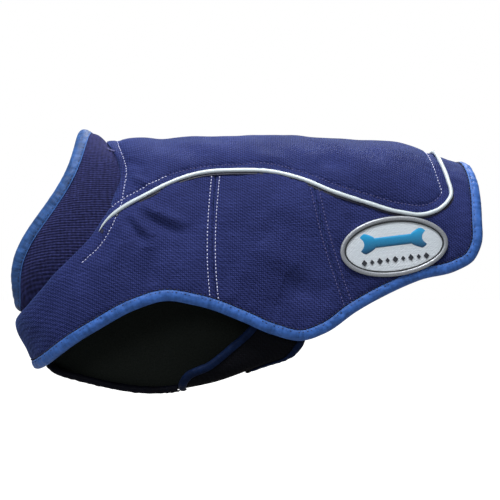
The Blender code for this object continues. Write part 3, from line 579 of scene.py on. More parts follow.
# Rows of sewing on the left side: line, depth of its groove, half-width of the groove, and puckering
front_seam = even(body, seam_line(piping, hem, front_on_piping, front_on_hem))
rear_seam = even(body, seam_line(piping, hem, rear_on_piping, rear_on_hem))
front_rows = [beside(body, front_seam, side * TWIN_SPACING) for side in (0.5, -0.5)]
rear_rows = [beside(body, rear_seam, side * TWIN_SPACING) for side in (0.5, -0.5)]
piping_row = beside(body, piping, -STITCH_MARGIN)
collar_seam = np.stack([np.zeros(600), np.linspace(0.0, math.pi, 600)], -1)
collar_row = curve_through(body, [(COLLAR_ROW_TOP, 0), *(seen_at(*p) for p in COLLAR_ROW)])

SEWN = [
    (dense(body(front_seam)), 0.0004, 0.0008, 0.1),
    (dense(body(rear_seam)), 0.0004, 0.0008, 0.1),
    *((dense(body(row)), 0.0007, 0.0015, 0.6) for row in (*front_rows, *rear_rows)),
    (dense(body(piping_row)), 0.0008, 0.0016, 0.6),
    (dense(body(collar_row)), 0.0009, 0.0017, 0.6),
]
PUFF_LINES = [dense(body(line)) for line in (front_seam, rear_seam, collar_row, hem)]
PIPING_LINE = dense(body(piping))
PIPING_ROW_LINE = dense(body(piping_row))
HEM_LINE = dense(body(hem))
COLLAR_LINE = dense(body(collar_seam))

# Soft creases: from and to (along, down), half-width, and height (below zero for a hollow)
CREASES = [
    ((0.075, 0.315), (0.130, 0.415), 0.0045, -0.0012),
    ((0.088, 0.300), (0.150, 0.390), 0.0040, 0.0009),
    ((0.112, 0.262), (0.240, 0.345), 0.0050, 0.0013),
    ((0.105, 0.285), (0.225, 0.385), 0.0050, -0.0010),
    ((0.130, 0.430), (0.150, 0.570), 0.0065, -0.0010),
    ((0.165, 0.300), (0.222, 0.490), 0.0080, -0.0009),
    ((0.060, 0.400), (0.030, 0.520), 0.0060, 0.0008),
    ((0.080, 0.160), (0.145, 0.200), 0.0035, 0.0011),
    ((0.060, 0.100), (0.120, 0.130), 0.0040, -0.0008),
    ((0.470, 0.560), (0.590, 0.620), 0.0120, -0.0014),
    ((0.420, 0.400), (0.500, 0.520), 0.0100, 0.0009),
    ((0.640, 0.300), (0.690, 0.560), 0.0080, -0.0008),
    ((0.560, 0.100), (0.650, 0.130), 0.0080, -0.0010),
    ((0.380, 0.080), (0.500, 0.110), 0.0090, 0.0008),
    ((0.330, 0.330), (0.350, 0.600), 0.0090, -0.0007),
    ((0.910, 0.250), (0.930, 0.420), 0.0060, -0.0006),
]
CREASE_LINES = []
for start, end, half_width, height in CREASES:
    ends = np.array([seen_at(*start), seen_at(*end)])
    CREASE_LINES.append((dense(body(mixed(ends[0], ends[1], np.linspace(0, 1, 25)))), half_width, height))


BADGE_MIDDLE = body(np.array(seen_at(*BADGE_CENTRE)))
BADGE_LEVEL = np.array([math.cos(BADGE_TILT), 0, math.sin(BADGE_TILT)])
BADGE_RISE = np.array([-math.sin(BADGE_TILT), 0, math.cos(BADGE_TILT)])


def relief(place, puff):
    """How far the padded cloth stands proud of the plain form: it swells away from its sewn edges, dips
    and puckers along each row of stitching, and carries broad ripples and the worn-in creases."""
    points = body(place)
    left = points * [1, 0, 1] - np.abs(points * [0, 1, 0])
    gap = np.full(points.shape[:-1], 1.0)
    for line in (*PUFF_LINES, PIPING_ROW_LINE if puff > SIDE_PUFF else PIPING_LINE):
        gap = np.minimum(gap, nearest(left, line)[0])
    height = puff * (1 - np.exp(-gap / PUFF_REACH))
    if puff > SIDE_PUFF:
        height = height * (nearest(left, PIPING_LINE)[0] > STITCH_MARGIN)
    for line, depth, spread, pucker in SEWN:
        gap, run = nearest(left, line)
        wave = puckers(points, run, *SEWING_PUCKERS)
        height = height - depth * np.exp(-((gap / spread) ** 2)) * (1 + pucker * wave)
        height = height + PUCKER_HEIGHT * wave * pucker * np.exp(-gap / SEWING_REACH)
    gap = nearest(left, COLLAR_LINE)[0]
    side = np.clip((np.abs(points[..., 1]) - NAPE[0]) / NAPE[1], 0, 1)
    height = height + COLLAR_RIDGE[0] * side * np.exp(-(((gap - COLLAR_RIDGE[1]) / COLLAR_RIDGE[2]) ** 2))
    height = height - NAPE_SINK[0] * (1 - side) * np.exp(-((gap / NAPE_SINK[1]) ** 2))
    hem_gap, run = nearest(left, HEM_LINE)
    wave = puckers(points, run, *HEM_PUCKERS)
    from_tape = np.maximum(hem_gap - BINDING_WIDTH, 0)
    height = height + HEM_PUCKER_HEIGHT * wave * np.exp(-from_tape / HEM_REACH)
    gap, run = nearest(left, PIPING_LINE)
    height = height + PUCKER_HEIGHT * puckers(points, run, *PIPING_PUCKERS) * np.exp(-gap / PIPING_REACH)
    for line, half_width, crease in CREASE_LINES:
        gap, run = nearest(left, line)
        length = np.linalg.norm(line[-1] - line[0])
        taper = np.sin(math.pi * np.clip(run / length, 0, 1)) ** 0.7
        height = height + crease * CREASE_DEPTH * taper * np.exp(-((gap / half_width) ** 2))
    for rise, wavelength, seed in (BROAD_RIPPLES, FINE_RIPPLES):
        height = height + rise * ripples(points, wavelength, seed)
    across = (left - BADGE_MIDDLE) @ BADGE_LEVEL / (BADGE_LENGTH / 2)
    up = (left - BADGE_MIDDLE) @ BADGE_RISE / (BADGE_HEIGHT / 2)
    height = height * np.clip((hem_gap / BINDING_WIDTH - HEM_FLAT[0]) / HEM_FLAT[1], 0, 1)
    under_badge = np.clip((BADGE_FLAT[0] - np.hypot(across, up)) / BADGE_FLAT[1], 0, 1) * (points[..., 1] < 0)
    return height * (1 - under_badge) - BADGE_SINK * under_badge


def turn_sheet(place):
    """Cloth coordinates in metres: along the dog, and from the spine down the side."""
    points = body(place)
    top = body(place * [1, 0])[..., 2]
    return np.stack([points[..., 0], side_run(points, top, place[..., 1])], -1)


def side_run(points, top, turn):
    """Cloth from the spine to each point, taken as the way out plus the way down."""
    return np.sign(turn) * (np.abs(points[..., 1]) + top - points[..., 2])


def make(name, points, faces, uv, finish, body_name, slot_name, nodes=(), sharp=50.0):
    """A mesh from points, faces and cloth coordinates, facing outwards, riding on a body."""
    points = np.ascontiguousarray(points, np.float32)
    faces = np.asarray(faces)
    corner = points[faces]
    volume = np.einsum("ij,ij->i", corner[:, 0], np.cross(corner[:, 1], corner[:, 2])).sum()
    volume += np.einsum("ij,ij->i", corner[:, 0], np.cross(corner[:, 2], corner[:, 3])).sum()
    if volume < 0:
        faces = faces[:, ::-1]
    mesh = bpy.data.meshes.new(name)
    mesh.from_pydata(points.tolist(), [], faces.tolist())
    mesh.validate()
    loops = np.zeros(len(mesh.loops), np.int32)
    mesh.loops.foreach_get("vertex_index", loops)
    mesh.uv_layers.new(name="cloth").data.foreach_set("uv", uv[loops].astype(np.float32).ravel())
    mesh.materials.append(finish)
    mesh.shade_smooth()
    mesh.set_sharp_from_angle(angle=math.radians(sharp))
    piece = bpy.data.objects.new(name, mesh)
    bpy.context.scene.collection.objects.link(piece)
    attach(piece, body_name)
    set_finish(piece, slot_name)
    if nodes:
        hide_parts(*nodes)
    return piece


def grid_faces(rows, columns, start=0, wrap=False):
    """Quads of a grid of vertices; wrap joins the last column to the first."""
    index = np.arange(rows * columns).reshape(rows, columns) + start
    if wrap:
        index = np.concatenate([index, index[:, :1]], 1)
    return np.stack([index[:-1, :-1], index[:-1, 1:], index[1:, 1:], index[1:, :-1]], -1).reshape(-1, 4)


def slab(name, outer, inner, uv, finish, body_name, slot_name, nodes=(), sharp=50.0):
    """A closed sheet between two grids of points, its rim joined by a strip of quads."""
    rows, columns = outer.shape[:2]
    count = rows * columns
    index = np.arange(count).reshape(rows, columns)
    rim = np.concatenate([index[0, :-1], index[:-1, -1], index[-1, :0:-1], index[:0:-1, 0]])
    onward = np.roll(rim, -1)
    front = grid_faces(rows, columns)
    back = front[:, ::-1] + count
    edge = np.stack([onward, rim, rim + count, onward + count], -1)
    points = np.concatenate([outer.reshape(-1, 3), inner.reshape(-1, 3)])
    uv = np.tile(uv.reshape(-1, 2), (2, 1))
    return make(name, points, np.concatenate([front, back, edge]), uv, finish, body_name, slot_name,
                nodes, sharp)


def tube(name, path, radius, finish, body_name, slot_name, nodes=(), sides=12, lift=None):
    """A closed round profile carried along a path of points, its radius given point by point, with a
    rounded end at each end. lift is the direction of the profile's top at each point."""
    along = unit(np.gradient(path, axis=0))
    side = unit(np.cross(along, lift))
    top = np.cross(side, along)
    turn = np.linspace(0, 2 * math.pi, sides, endpoint=False)
    ring = np.cos(turn)[None, :, None] * side[:, None] + np.sin(turn)[None, :, None] * top[:, None]
    radius = np.broadcast_to(np.asarray(radius, float), (len(path),)).copy()
    radius[[0, -1]] *= 0.02
    points = path[:, None] + ring * radius[:, None, None]
    run = run_along(path)
    uv = np.stack(np.broadcast_arrays(run[:, None], turn[None] * 0.002), -1)
    faces = grid_faces(*points.shape[:2], wrap=True)
    return make(name, points.reshape(-1, 3), faces, uv.reshape(-1, 2), finish, body_name, slot_name, nodes,
                sharp=80.0)


def stitches(name, points, lifts, finish, body_name, nodes=(), pitch=STITCH_PITCH, share=0.66,
             radius=STITCH_RADIUS, slot_name="sewing_thread"):
    """A row of single stitches: short bent capsules, each dipping into the cloth at both ends."""
    run = run_along(points)
    count = max(int(run[-1] / pitch), 1)
    uneven = np.random.default_rng(len(name) + count).uniform(-0.06, 0.06, count)
    t = np.array([-1, -0.86, -0.45, 0, 0.45, 0.86, 1])
    at = (np.arange(count) + 0.5 + uneven)[:, None] * run[-1] / count + t[None] * share * pitch / 2
    path = np.stack([np.interp(at, run, points[:, k]) for k in range(3)], -1)
    up = unit(np.stack([np.interp(at, run, lifts[:, k]) for k in range(3)], -1))
    along = unit(np.gradient(path, axis=1))
    side = np.cross(along, up)
    path = path + up * (radius * (0.9 - 1.5 * t**2))[None, :, None]
    girth = radius * np.sqrt(np.maximum(1 - t**4, 0.02))
    turn = np.linspace(0, 2 * math.pi, 6, endpoint=False)
    ring = np.cos(turn)[:, None] * side[:, :, None] + np.sin(turn)[:, None] * up[:, :, None]
    mesh_points = path[:, :, None] + ring * girth[None, :, None, None]
    one = grid_faces(len(t), len(turn), wrap=True)
    faces = (one[None] + (np.arange(count) * len(t) * len(turn))[:, None, None]).reshape(-1, 4)
    uv = np.stack(np.broadcast_arrays(at[:, :, None], turn[None, None] * radius), -1)
    return make(name, mesh_points.reshape(-1, 3), faces, uv.reshape(-1, 2), finish, body_name, slot_name,
                nodes, sharp=80.0)


class Wire:
    """One socket of a shader graph. Arithmetic on it adds Math nodes."""

    def __init__(self, graph, socket):
        self.graph = graph
        self.socket = socket

    def math(self, operation, *values):
        return self.graph.node("ShaderNodeMath", {"operation": operation}, dict(enumerate((self, *values))))

    def __add__(self, other):
        return self.math("ADD", other)

    def __sub__(self, other):
        return self.math("SUBTRACT", other)

    def __mul__(self, other):
        return self.math("MULTIPLY", other)

    def __rsub__(self, other):
        return self.math("MULTIPLY_ADD", -1.0, other)

    __radd__ = __add__
    __rmul__ = __mul__


class Finish:
    """A procedural material: a Principled shader and the nodes that feed it."""

    def __init__(self, name, **uniform):
        self.material = bpy.data.materials.new(name)
        self.material.use_nodes = True
        self.nodes = self.material.node_tree.nodes
        self.shader = self.nodes["Principled BSDF"]
        for socket, value in uniform.items():
            self.shader.inputs[socket.replace("_", " ")].default_value = value

    def node(self, kind, settings=None, values=None, output=0):
        """Adds a node; its settings are made first, then its sockets are given values or links."""
        made = self.nodes.new(kind)
        for name, value in (settings or {}).items():
            setattr(made, name, value)
        for socket, value in (values or {}).items():
            if isinstance(value, Wire):
                self.material.node_tree.links.new(value.socket, made.inputs[socket])
            else:
                made.inputs[socket].default_value = value
        return Wire(self, made.outputs[output])

    def cloth(self, scale, turn=0.0):
        """The piece's cloth coordinates, stretched and turned."""
        uv = self.node("ShaderNodeUVMap", {"uv_map": "cloth"})
        return self.node("ShaderNodeMapping", {}, {0: uv, 2: (0, 0, turn), 3: scale})

    def noise(self, where, scale, detail=2.0, roughness=0.5):
        return self.node("ShaderNodeTexNoise", {}, {"Vector": where, "Scale": scale, "Detail": detail,
                                                    "Roughness": roughness})

    def wave(self, where, direction="X", distortion=0.0):
        """Even bands, one for each unit of the coordinate."""
        return self.node("ShaderNodeTexWave", {"bands_direction": direction, "wave_profile": "SIN"},
                         {"Vector": where, "Scale": math.pi / 10, "Distortion": distortion})

    def between(self, share, low, high):
        """A share mapped from low..high to 0..1, clipped."""
        return self.node("ShaderNodeMapRange", {}, {0: share, 1: low, 2: high, 3: 0.0, 4: 1.0})

    def mix(self, share, first, second):
        """Two colours mixed by a share."""
        colours = [c if isinstance(c, Wire) else (*c, 1) for c in (first, second)]
        return self.node("ShaderNodeMix", {"data_type": "RGBA"}, {0: share, 6: colours[0], 7: colours[1]}, 2)

    def feed(self, socket, wire):
        self.material.node_tree.links.new(wire.socket, self.shader.inputs[socket])

    def bump(self, height, distance, strength=1.0):
        self.feed("Normal", self.node("ShaderNodeBump", {}, {"Height": height, "Distance": distance,
                                                             "Strength": strength}))


def woven(name, dark, light, pitch=0.0019, contrast=0.8, **uniform):
    """Plain-woven cloth: crossing yarns, a slanted twill line, slubs along the weft and slight fading."""
    finish = Finish(name, **uniform)
    yarns = finish.cloth((1 / pitch, 1 / pitch, 1))
    warp = finish.wave(yarns, "X", 0.4)
    weft = finish.wave(yarns, "Y", 0.4)
    twill = finish.wave(finish.cloth((0.6 / pitch, 0.6 / pitch, 1), math.radians(52)), "X", 1.5)
    slub = finish.noise(finish.cloth((45, 760, 1)), 1.0, 3.0)
    fade = finish.noise(finish.cloth((14, 14, 1)), 1.0, 3.0)
    fleck = finish.noise(finish.cloth((620, 620, 1)), 1.0, 2.0)
    lines = finish.between(slub, 0.50, 0.72)
    tone = warp * weft * (0.7 * contrast) + twill * (0.3 * contrast) + lines * (0.25 * contrast)
    tone = tone + (fade - 0.5) * 0.6 + (fleck - 0.5) * (0.8 * contrast)
    finish.feed("Base Color", finish.mix(finish.between(tone, -0.1, 1.0), dark, light))
    finish.bump(warp * weft + twill * 0.5 + lines * 0.6 + fleck * 0.5, 0.00022)
    return finish.material


def knitted(name, dark, light):
    """Collar knit: short raised loops in close rows, staggered from row to row."""
    finish = Finish(name, Roughness=0.85, Sheen_Weight=0.15, Sheen_Roughness=0.5,
                    Sheen_Tint=(0.35, 0.32, 1.0, 1), Specular_IOR_Level=0.1)
    rows = finish.wave(finish.cloth((120, 420, 1)), "Y", 1.2)
    loops = finish.wave(finish.cloth((280, 90, 1)), "X", 4.0)
    patchy = finish.noise(finish.cloth((260, 560, 1)), 1.0, 2.0)
    tone = rows * 0.45 + loops * 0.2 + finish.between(patchy, 0.45, 0.75) * 0.6
    finish.feed("Base Color", finish.mix(finish.between(tone, 0.1, 1.1), dark, light))
    finish.bump(rows + loops * 0.6 + patchy, 0.0004)
    return finish.material


def taped(name, dark, light, sheen=0.1):
    """Satin binding tape: fine ribs across the tape and cloudy, rubbed-looking lighter patches."""
    finish = Finish(name, Roughness=0.5, Sheen_Weight=sheen, Sheen_Tint=(0.4, 0.6, 1.0, 1),
                    Specular_IOR_Level=0.25 if sheen else 0.05)
    ribs = finish.wave(finish.cloth((900, 900, 1)), "X", 0.5)
    clouds = finish.noise(finish.cloth((70, 110, 1)), 1.0, 3.0, 0.6)
    streaks = finish.noise(finish.cloth((420, 60, 1)), 1.0, 2.0)
    tone = finish.between(clouds, 0.3, 0.75) * 0.7 + finish.between(streaks, 0.4, 0.7) * 0.25 + ribs * 0.08
    finish.feed("Base Color", finish.mix(tone, dark, light))
    finish.bump(ribs * 0.4 + streaks, 0.0002)
    return finish.material


def plain(name, dark, light, scale, distance, **uniform):
    """A finish with grain: fine mottling in colour and relief at the given scale."""
    finish = Finish(name, **uniform)
    grain = finish.noise(finish.cloth((scale, scale, 1)), 1.0, 3.0, 0.6)
    finish.feed("Base Color", finish.mix(finish.between(grain, 0.3, 0.7), dark, light))
    finish.bump(grain, distance)
    return finish.material


def emblem_finish():
    """Embroidered satin of the bone: close slanted threads, bright above and deep blue below."""
    finish = Finish("bone_embroidery", Roughness=0.38, Sheen_Weight=0.2)
    threads = finish.wave(finish.cloth((1400, 1400, 1), math.radians(25)), "X", 0.6)
    place = finish.node("ShaderNodeUVMap", {"uv_map": "cloth"})
    height = finish.node("ShaderNodeSeparateXYZ", {}, {0: place}, 1)
    shade = finish.between(height, -0.005, 0.012)
    finish.feed("Base Color", finish.mix(shade, (0.002, 0.022, 0.085), (0.004, 0.36, 0.72)))
    finish.bump(threads, 0.0003)
    return finish.material


SHELL = woven("shell_cloth", (0.003, 0.0045, 0.028), (0.046, 0.062, 0.236), pitch=0.0017, contrast=0.85,
              Roughness=0.7, Sheen_Weight=0.35, Sheen_Roughness=0.35, Sheen_Tint=(0.22, 0.40, 1.0, 1),
              Specular_IOR_Level=0.06)
FLAP_SHELL = woven("flap_cloth", (0.0018, 0.002, 0.003), (0.0065, 0.007, 0.010), Roughness=0.9,
                   Specular_IOR_Level=0.05)
LINING = plain("lining_cloth", (0.0015, 0.0015, 0.0018), (0.004, 0.004, 0.005), 900, 0.0002, Roughness=0.7,
               Specular_IOR_Level=0.2)
# Near-black for the leg gussets: painted shade of the coat's inside, seen through the leg openings
SHADE_GUSSET = plain("painted_shade_gusset_cloth", (0.009, 0.011, 0.010), (0.017, 0.020, 0.018), 700, 0.0001,
               Roughness=0.95, Specular_IOR_Level=0.0)
COLLAR = knitted("collar_knit", (0.008, 0.009, 0.034), (0.034, 0.040, 0.150))
BINDING = taped("binding_tape", (0.010, 0.050, 0.19), (0.052, 0.165, 0.56))
# Darker copy of the binding tape's blues for the neck's binding: painted shade on the same tape
SHADED_NECK_TAPE = taped("shaded_neck_tape", (0.003, 0.020, 0.075), (0.046, 0.140, 0.42))
# Lighter blue of that tube: a painted highlight along the folded sewn edges of the tapes
TAPE_HIGHLIGHT = taped("tape_highlight", (0.03, 0.10, 0.36), (0.10, 0.24, 0.62))
# Much darker copy of the blue binding tape for the wings' edges: painted shade under the belly
SHADED_FLAP_TAPE = taped("shaded_flap_tape", (0.0015, 0.004, 0.016), (0.004, 0.014, 0.055), sheen=0.0)
STRAP_TAPE = taped("strap_tape", (0.0015, 0.0015, 0.003), (0.003, 0.004, 0.010), sheen=0.0)
PIPING = plain("reflective_piping", (0.42, 0.49, 0.53), (0.62, 0.69, 0.73), 1500, 0.00012, Roughness=0.4,
               Metallic=0.1)
LIGHT_THREAD = plain("light_thread", (0.42, 0.43, 0.72), (0.75, 0.77, 0.95), 3000, 0.0001, Roughness=0.5)
DARK_THREAD = plain("dark_thread", (0.002, 0.003, 0.016), (0.006, 0.008, 0.04), 3000, 0.0001, Roughness=0.6)
# Mid thread: the rear seam rows and slot tacks, and the middle of the row along the piping, where it is
# painted shade
MID_THREAD = plain("mid_thread", (0.035, 0.035, 0.13), (0.12, 0.12, 0.30), 3000, 0.0001, Roughness=0.6)
RIM = plain("badge_rim", (0.17, 0.19, 0.22), (0.38, 0.40, 0.43), 1100, 0.0002, Roughness=0.35, Metallic=0.35)
RING = plain("badge_ring", (0.006, 0.009, 0.012), (0.025, 0.03, 0.035), 1500, 0.0001, Roughness=0.5)
GROUND = woven("badge_ground", (0.50, 0.56, 0.62), (0.80, 0.85, 0.90), pitch=0.0011, contrast=0.3,
               Roughness=0.5)
EMBLEM = emblem_finish()
MARK = plain("badge_mark", (0.008, 0.010, 0.016), (0.03, 0.035, 0.05), 1500, 0.0002, Roughness=0.5)
HOOK = plain("hook_tape", (0.003, 0.003, 0.004), (0.012, 0.012, 0.015), 1600, 0.0008, Roughness=0.6)
LOOP = plain("loop_tape", (0.003, 0.003, 0.004), (0.014, 0.014, 0.017), 700, 0.0009, Roughness=0.95)


def quilt(name, place, puff, nodes):
    """A padded panel: the relief outside, the wadding's underside inside, rounded over at its edges."""
    outer_face, out = body(place), normal(body, place)
    height = relief(place, puff)
    steps = [np.linalg.norm(outer_face - np.broadcast_to(edge, outer_face.shape), axis=-1) for edge in (
        outer_face[:1], outer_face[-1:], outer_face[:, :1], outer_face[:, -1:])]
    edge = np.minimum.reduce(steps)
    roll = EDGE_SOFTNESS * np.exp(-edge / EDGE_SOFTNESS)
    outer = outer_face + out * (height - roll)[..., None]
    half = SEAM_GAP / 2
    outer = drawn_in(outer, half, half, half, half)
    inner = drawn_in(outer_face - out * (LINING_DEPTH - PLY_GAP), half, half, half, half)
    piece = slab(name, outer, inner, turn_sheet(place), SHELL, "coat", "shell_cloth", nodes)
    return piece


def finer(shares, times):
    """The same run of shares with each step cut into equal parts."""
    index = np.linspace(0, len(shares) - 1, (len(shares) - 1) * times + 1)
    return np.interp(index, np.arange(len(shares)), shares)


def flat_size(points):
    """Greatest width, greatest length and area of a grid of points."""
    across = np.linalg.norm(np.diff(points, axis=0), axis=-1).sum(0)
    along = np.linalg.norm(np.diff(points, axis=1), axis=-1).sum(1)
    a = np.cross(points[1:, 1:] - points[:-1, :-1], points[1:, :-1] - points[:-1, 1:])
    return float(across.max()), float(along.max()), float(np.linalg.norm(a, axis=-1).sum() / 2)


def sheet(name, outer, inner, uv, finish, body_name, slot_name, nodes):
    """A single cloth; the size it was cut to is worked out but not used."""
    piece = slab(name, outer, inner, uv, finish, body_name, slot_name, nodes)
    width, length, area = flat_size((outer + inner) / 2)
    return piece


def fine_side(times, columns):
    """Fine grids of the left shoulder, gusset and flank."""
    rows = np.linspace(0, 1, 20 * times + 1)
    front = mixed(part_of(piping, [front_on_piping])[0], part_of(cloth_edge, [front_on_hem])[0], rows)
    rear = mixed(part_of(piping, [rear_on_piping])[0], part_of(cloth_edge, [rear_on_hem])[0], rows)
    back = mixed(part_of(piping, [1])[0], part_of(cloth_edge, [1])[0], rows)
    collar_side = mixed(piping[0], (0, math.pi), rows)
    chest = mixed((0, math.pi), cloth_edge[0], np.linspace(0, 1, (CHEST_COLUMNS - 1) * columns + 1))
    under = np.concatenate([chest, part_of(cloth_edge, finer(leg_hem_shares, columns))[1:]])
    return {
        "shoulder": patch(part_of(piping, finer(shoulder_shares, columns)), under, collar_side, front, rows),
        "gusset": patch(part_of(piping, finer(gusset_shares, columns * 3 // 2)),
                        part_of(cloth_edge, finer(gusset_hem_shares, columns * 3 // 2)), front, rear, rows),
        "flank": patch(part_of(piping, finer(rear_shares, columns)),
                       part_of(cloth_edge, finer(rear_hem_shares, columns)), rear, back, rows),
    }


def fine_spine(across_times, along_times):
    """Fine grid of the spine panel."""
    across = np.linspace(0, 1, (SPINE_ROWS - 1) * across_times + 1)
    left = part_of(piping, finer(np.concatenate([shoulder_shares, gusset_shares[1:], flank_shares[1:]]),
                                 along_times))
    half = part_of(piping, finer(tail_shares, across_times))
    rear = np.concatenate([half, (half * [1, -1])[-2::-1]])
    front = mixed(left[0], left[0] * [1, -1], across)
    return patch(left, left * [1, -1], front, rear, across)


def build_panels():
    """Padded panels of the back and sides, and their linings."""
    for piece, place in fine_side(9, 12).items():
        for side, sign in (("left", 1), ("right", -1)):
            quilt(f"{side}_{piece}_quilt", place * [1, sign], SIDE_PUFF,
                  (f"{side}_{piece}_panel", f"{side}_{piece}_wadding"))
    quilt("spine_quilt", fine_spine(20, 11), SPINE_PUFF, ("spine_panel", "spine_wadding"))
    linings = {f"left_{piece}": place for piece, place in fine_side(2, 4).items()}
    linings.update({f"right_{piece}": place * [1, -1] for piece, place in fine_side(2, 4).items()})
    linings["spine"] = fine_spine(4, 3)
    for name, place in linings.items():
        puff = LINING_RIPPLE * ripples(body(place), 0.035, 11)
        outer = skin(body, place, LINING_DEPTH)
        inner = skin(body, place, STACK + np.clip(puff, -0.0001, LINING_RIPPLE))
        sheet(f"{name}_lining_cloth", outer, inner, turn_sheet(place), LINING, "coat", "lining_cloth",
              (f"{name}_lining",))


def build_collar():
    """Collar: a padded knit band with the lead slot, its lining and the neck binding."""
    side = mixed((0, math.pi - SEAM_GAP * 10), piping[0], finer(1 - SIDE_ROWS[::-1], 8))[:, 1]
    across = mixed(piping[0], piping[0] * [1, -1], np.linspace(0, 1, 97))[:, 1]
    turns = np.concatenate([side, across[1:-1], -side[::-1]])
    seam = np.stack([np.zeros_like(turns), turns], -1)
    slot = np.sqrt(np.clip(1 - (body(seam)[:, 1] * 2 / LEAD_SLOT_LENGTH) ** 2, 0, 1)) * (np.cos(turns) > 0)
    height = np.linalg.norm(collar(seam + [1, 0]) - collar(seam), axis=-1)
    low = (0.5 * SEAM_GAP + slot * LEAD_SLOT_WIDTH * SLOT_OPENING) / height
    high = 1 - edge_room(STACK) / height
    v = np.linspace(0, 1, COLLAR_SAMPLES)[:, None]
    place = np.stack(np.broadcast_arrays(high + (low - high) * v, turns), -1)
    points = collar(place)
    gap = (place[..., 0] - low) * height
    swell = COLLAR_PUFF * np.sin(math.pi * v) - COLLAR_SINK[0] * np.exp(-gap / COLLAR_SINK[1])
    loose = np.clip((1 - place[..., 0]) * height / NECK_BINDING_WIDTH - 0.7, 0, 1)
    swell = swell + loose * (0.0010 * ripples(points, 0.05, 21) + 0.0003 * ripples(points, 0.018, 22))
    uv = np.stack([points[..., 0], side_run(points, points[:, :1, 2] * 0 + STACK, place[..., 1])], -1)
    outer = skin(collar, place, -swell)
    inner = skin(collar, place, LINING_DEPTH - PLY_GAP)
    piece = slab("collar_quilt", outer, inner, uv, COLLAR, "coat", "shell_cloth",
                 ("collar_panel", "collar_wadding"))
    outer = skin(collar, place, LINING_DEPTH)
    inner = skin(collar, place, STACK)
    sheet("collar_lining_cloth", outer, inner, uv, LINING, "coat", "lining_cloth", ("collar_lining",))
    neck_edge = even(collar, seam + [1, 0], TRIM_SAMPLES)
    # The neck's binding in those darker blues: painted shade
    binding("shaded_neck_tape", collar, neck_edge, 1, NECK_BINDING_WIDTH, STACK, SHADED_NECK_TAPE, "coat",
            ("neck_binding",), 31)


def binding(name, face, line, side, width, stack, finish, body_name, nodes, seed, middle=None):
    """Tape folded over an edge: an outer leg pressed down at its sewn edge, a round fold and an inner
    leg, carried along the edge with the small puckers of the sewing."""
    fold = edge_room(stack) - SEAM_GAP
    bend = np.linspace(math.pi / 2, -math.pi / 2, FOLD_SAMPLES)[1:-1]
    share = np.linspace(0, 1, TAPE_SAMPLES)
    rise = TAPE_PRESS[0] + TAPE_PRESS[1] * np.sin(share * math.pi / 2) ** TAPE_PRESS[2]
    grids = []
    for half, press in ((fold, True), (fold - BINDING_THICKNESS, False)):
        leg = width + (fold - width) * share
        reach = np.concatenate([leg, fold - half * np.cos(bend), leg[::-1]])
        thick = stack / 2 + (half - stack / 2) * (rise if press else rise * 0.9)
        below = stack / 2 - np.concatenate([thick, half * np.sin(bend), -thick[::-1]])
        columns = []
        for distance, drop in zip(reach, below):
            place = beside(face, line, side * max(distance, fold))
            along = unit(np.gradient(face(place), axis=0))
            across = np.cross(along, normal(face, place)) * side
            columns.append(skin(face, place, drop) + across * min(distance - fold, 0))
        grid = np.stack(columns, 1)
        grids.append(grid)
    run = run_along(face(line))
    wave = puckers(grids[0], run[:, None], *TAPE_PUCKERS, seed)
    bulge = PUCKER_HEIGHT * wave + TAPE_RIPPLES[0] * ripples(grids[0], TAPE_RIPPLES[1], seed + 1)
    count = len(share)
    taper = np.concatenate([np.sin(share * math.pi) ** 0.5 * 0.7 + 0.3 * share, np.ones(len(bend)),
                            np.zeros(count)])
    facing = np.concatenate([np.ones(count), np.sin(bend), -np.ones(count)])
    out = normal(face, line)[:, None] * facing[None, :, None]
    grids = [grid + out * (bulge * taper[None])[..., None] for grid in grids]
    if middle is not None:
        for grid in grids:
            grid[0, :, 1] = middle
            grid[-1, :, 1] = 0
        grids = [both_sides(grid) for grid in grids]
        run = np.concatenate([run, run[-1] + run[1:]])
    spread = run_along(grids[0][len(line) // 2])
    uv = np.stack(np.broadcast_arrays(run[:, None], spread[None]), -1)
    return slab(name, grids[0], grids[1], uv, finish, body_name, "binding_tape", nodes, sharp=60.0)


def cloth_row(line, puff, lift=0.0):
    """Points on the padded cloth above a line of places, and the way out of it there."""
    out = normal(body, line)
    return body(line) + out * (relief(line, puff) + lift + 0.00015)[:, None], out


def mirrored(name, points, out, finish, nodes=((), ()), **settings):
    """The same row of stitches on both sides of the coat."""
    for (side, mirror), replaced in zip(SIDES, nodes):
        stitches(f"{side}_{name}", points * mirror, out * mirror, finish, "coat", replaced, **settings)


def neck_line(last_turn):
    """The neck edge's left half, from the chest up to a turn near the nape."""
    turns = np.linspace(math.pi - 0.02, last_turn, 500)
    return even(collar, np.stack([np.ones_like(turns), turns], -1), TRIM_SAMPLES)


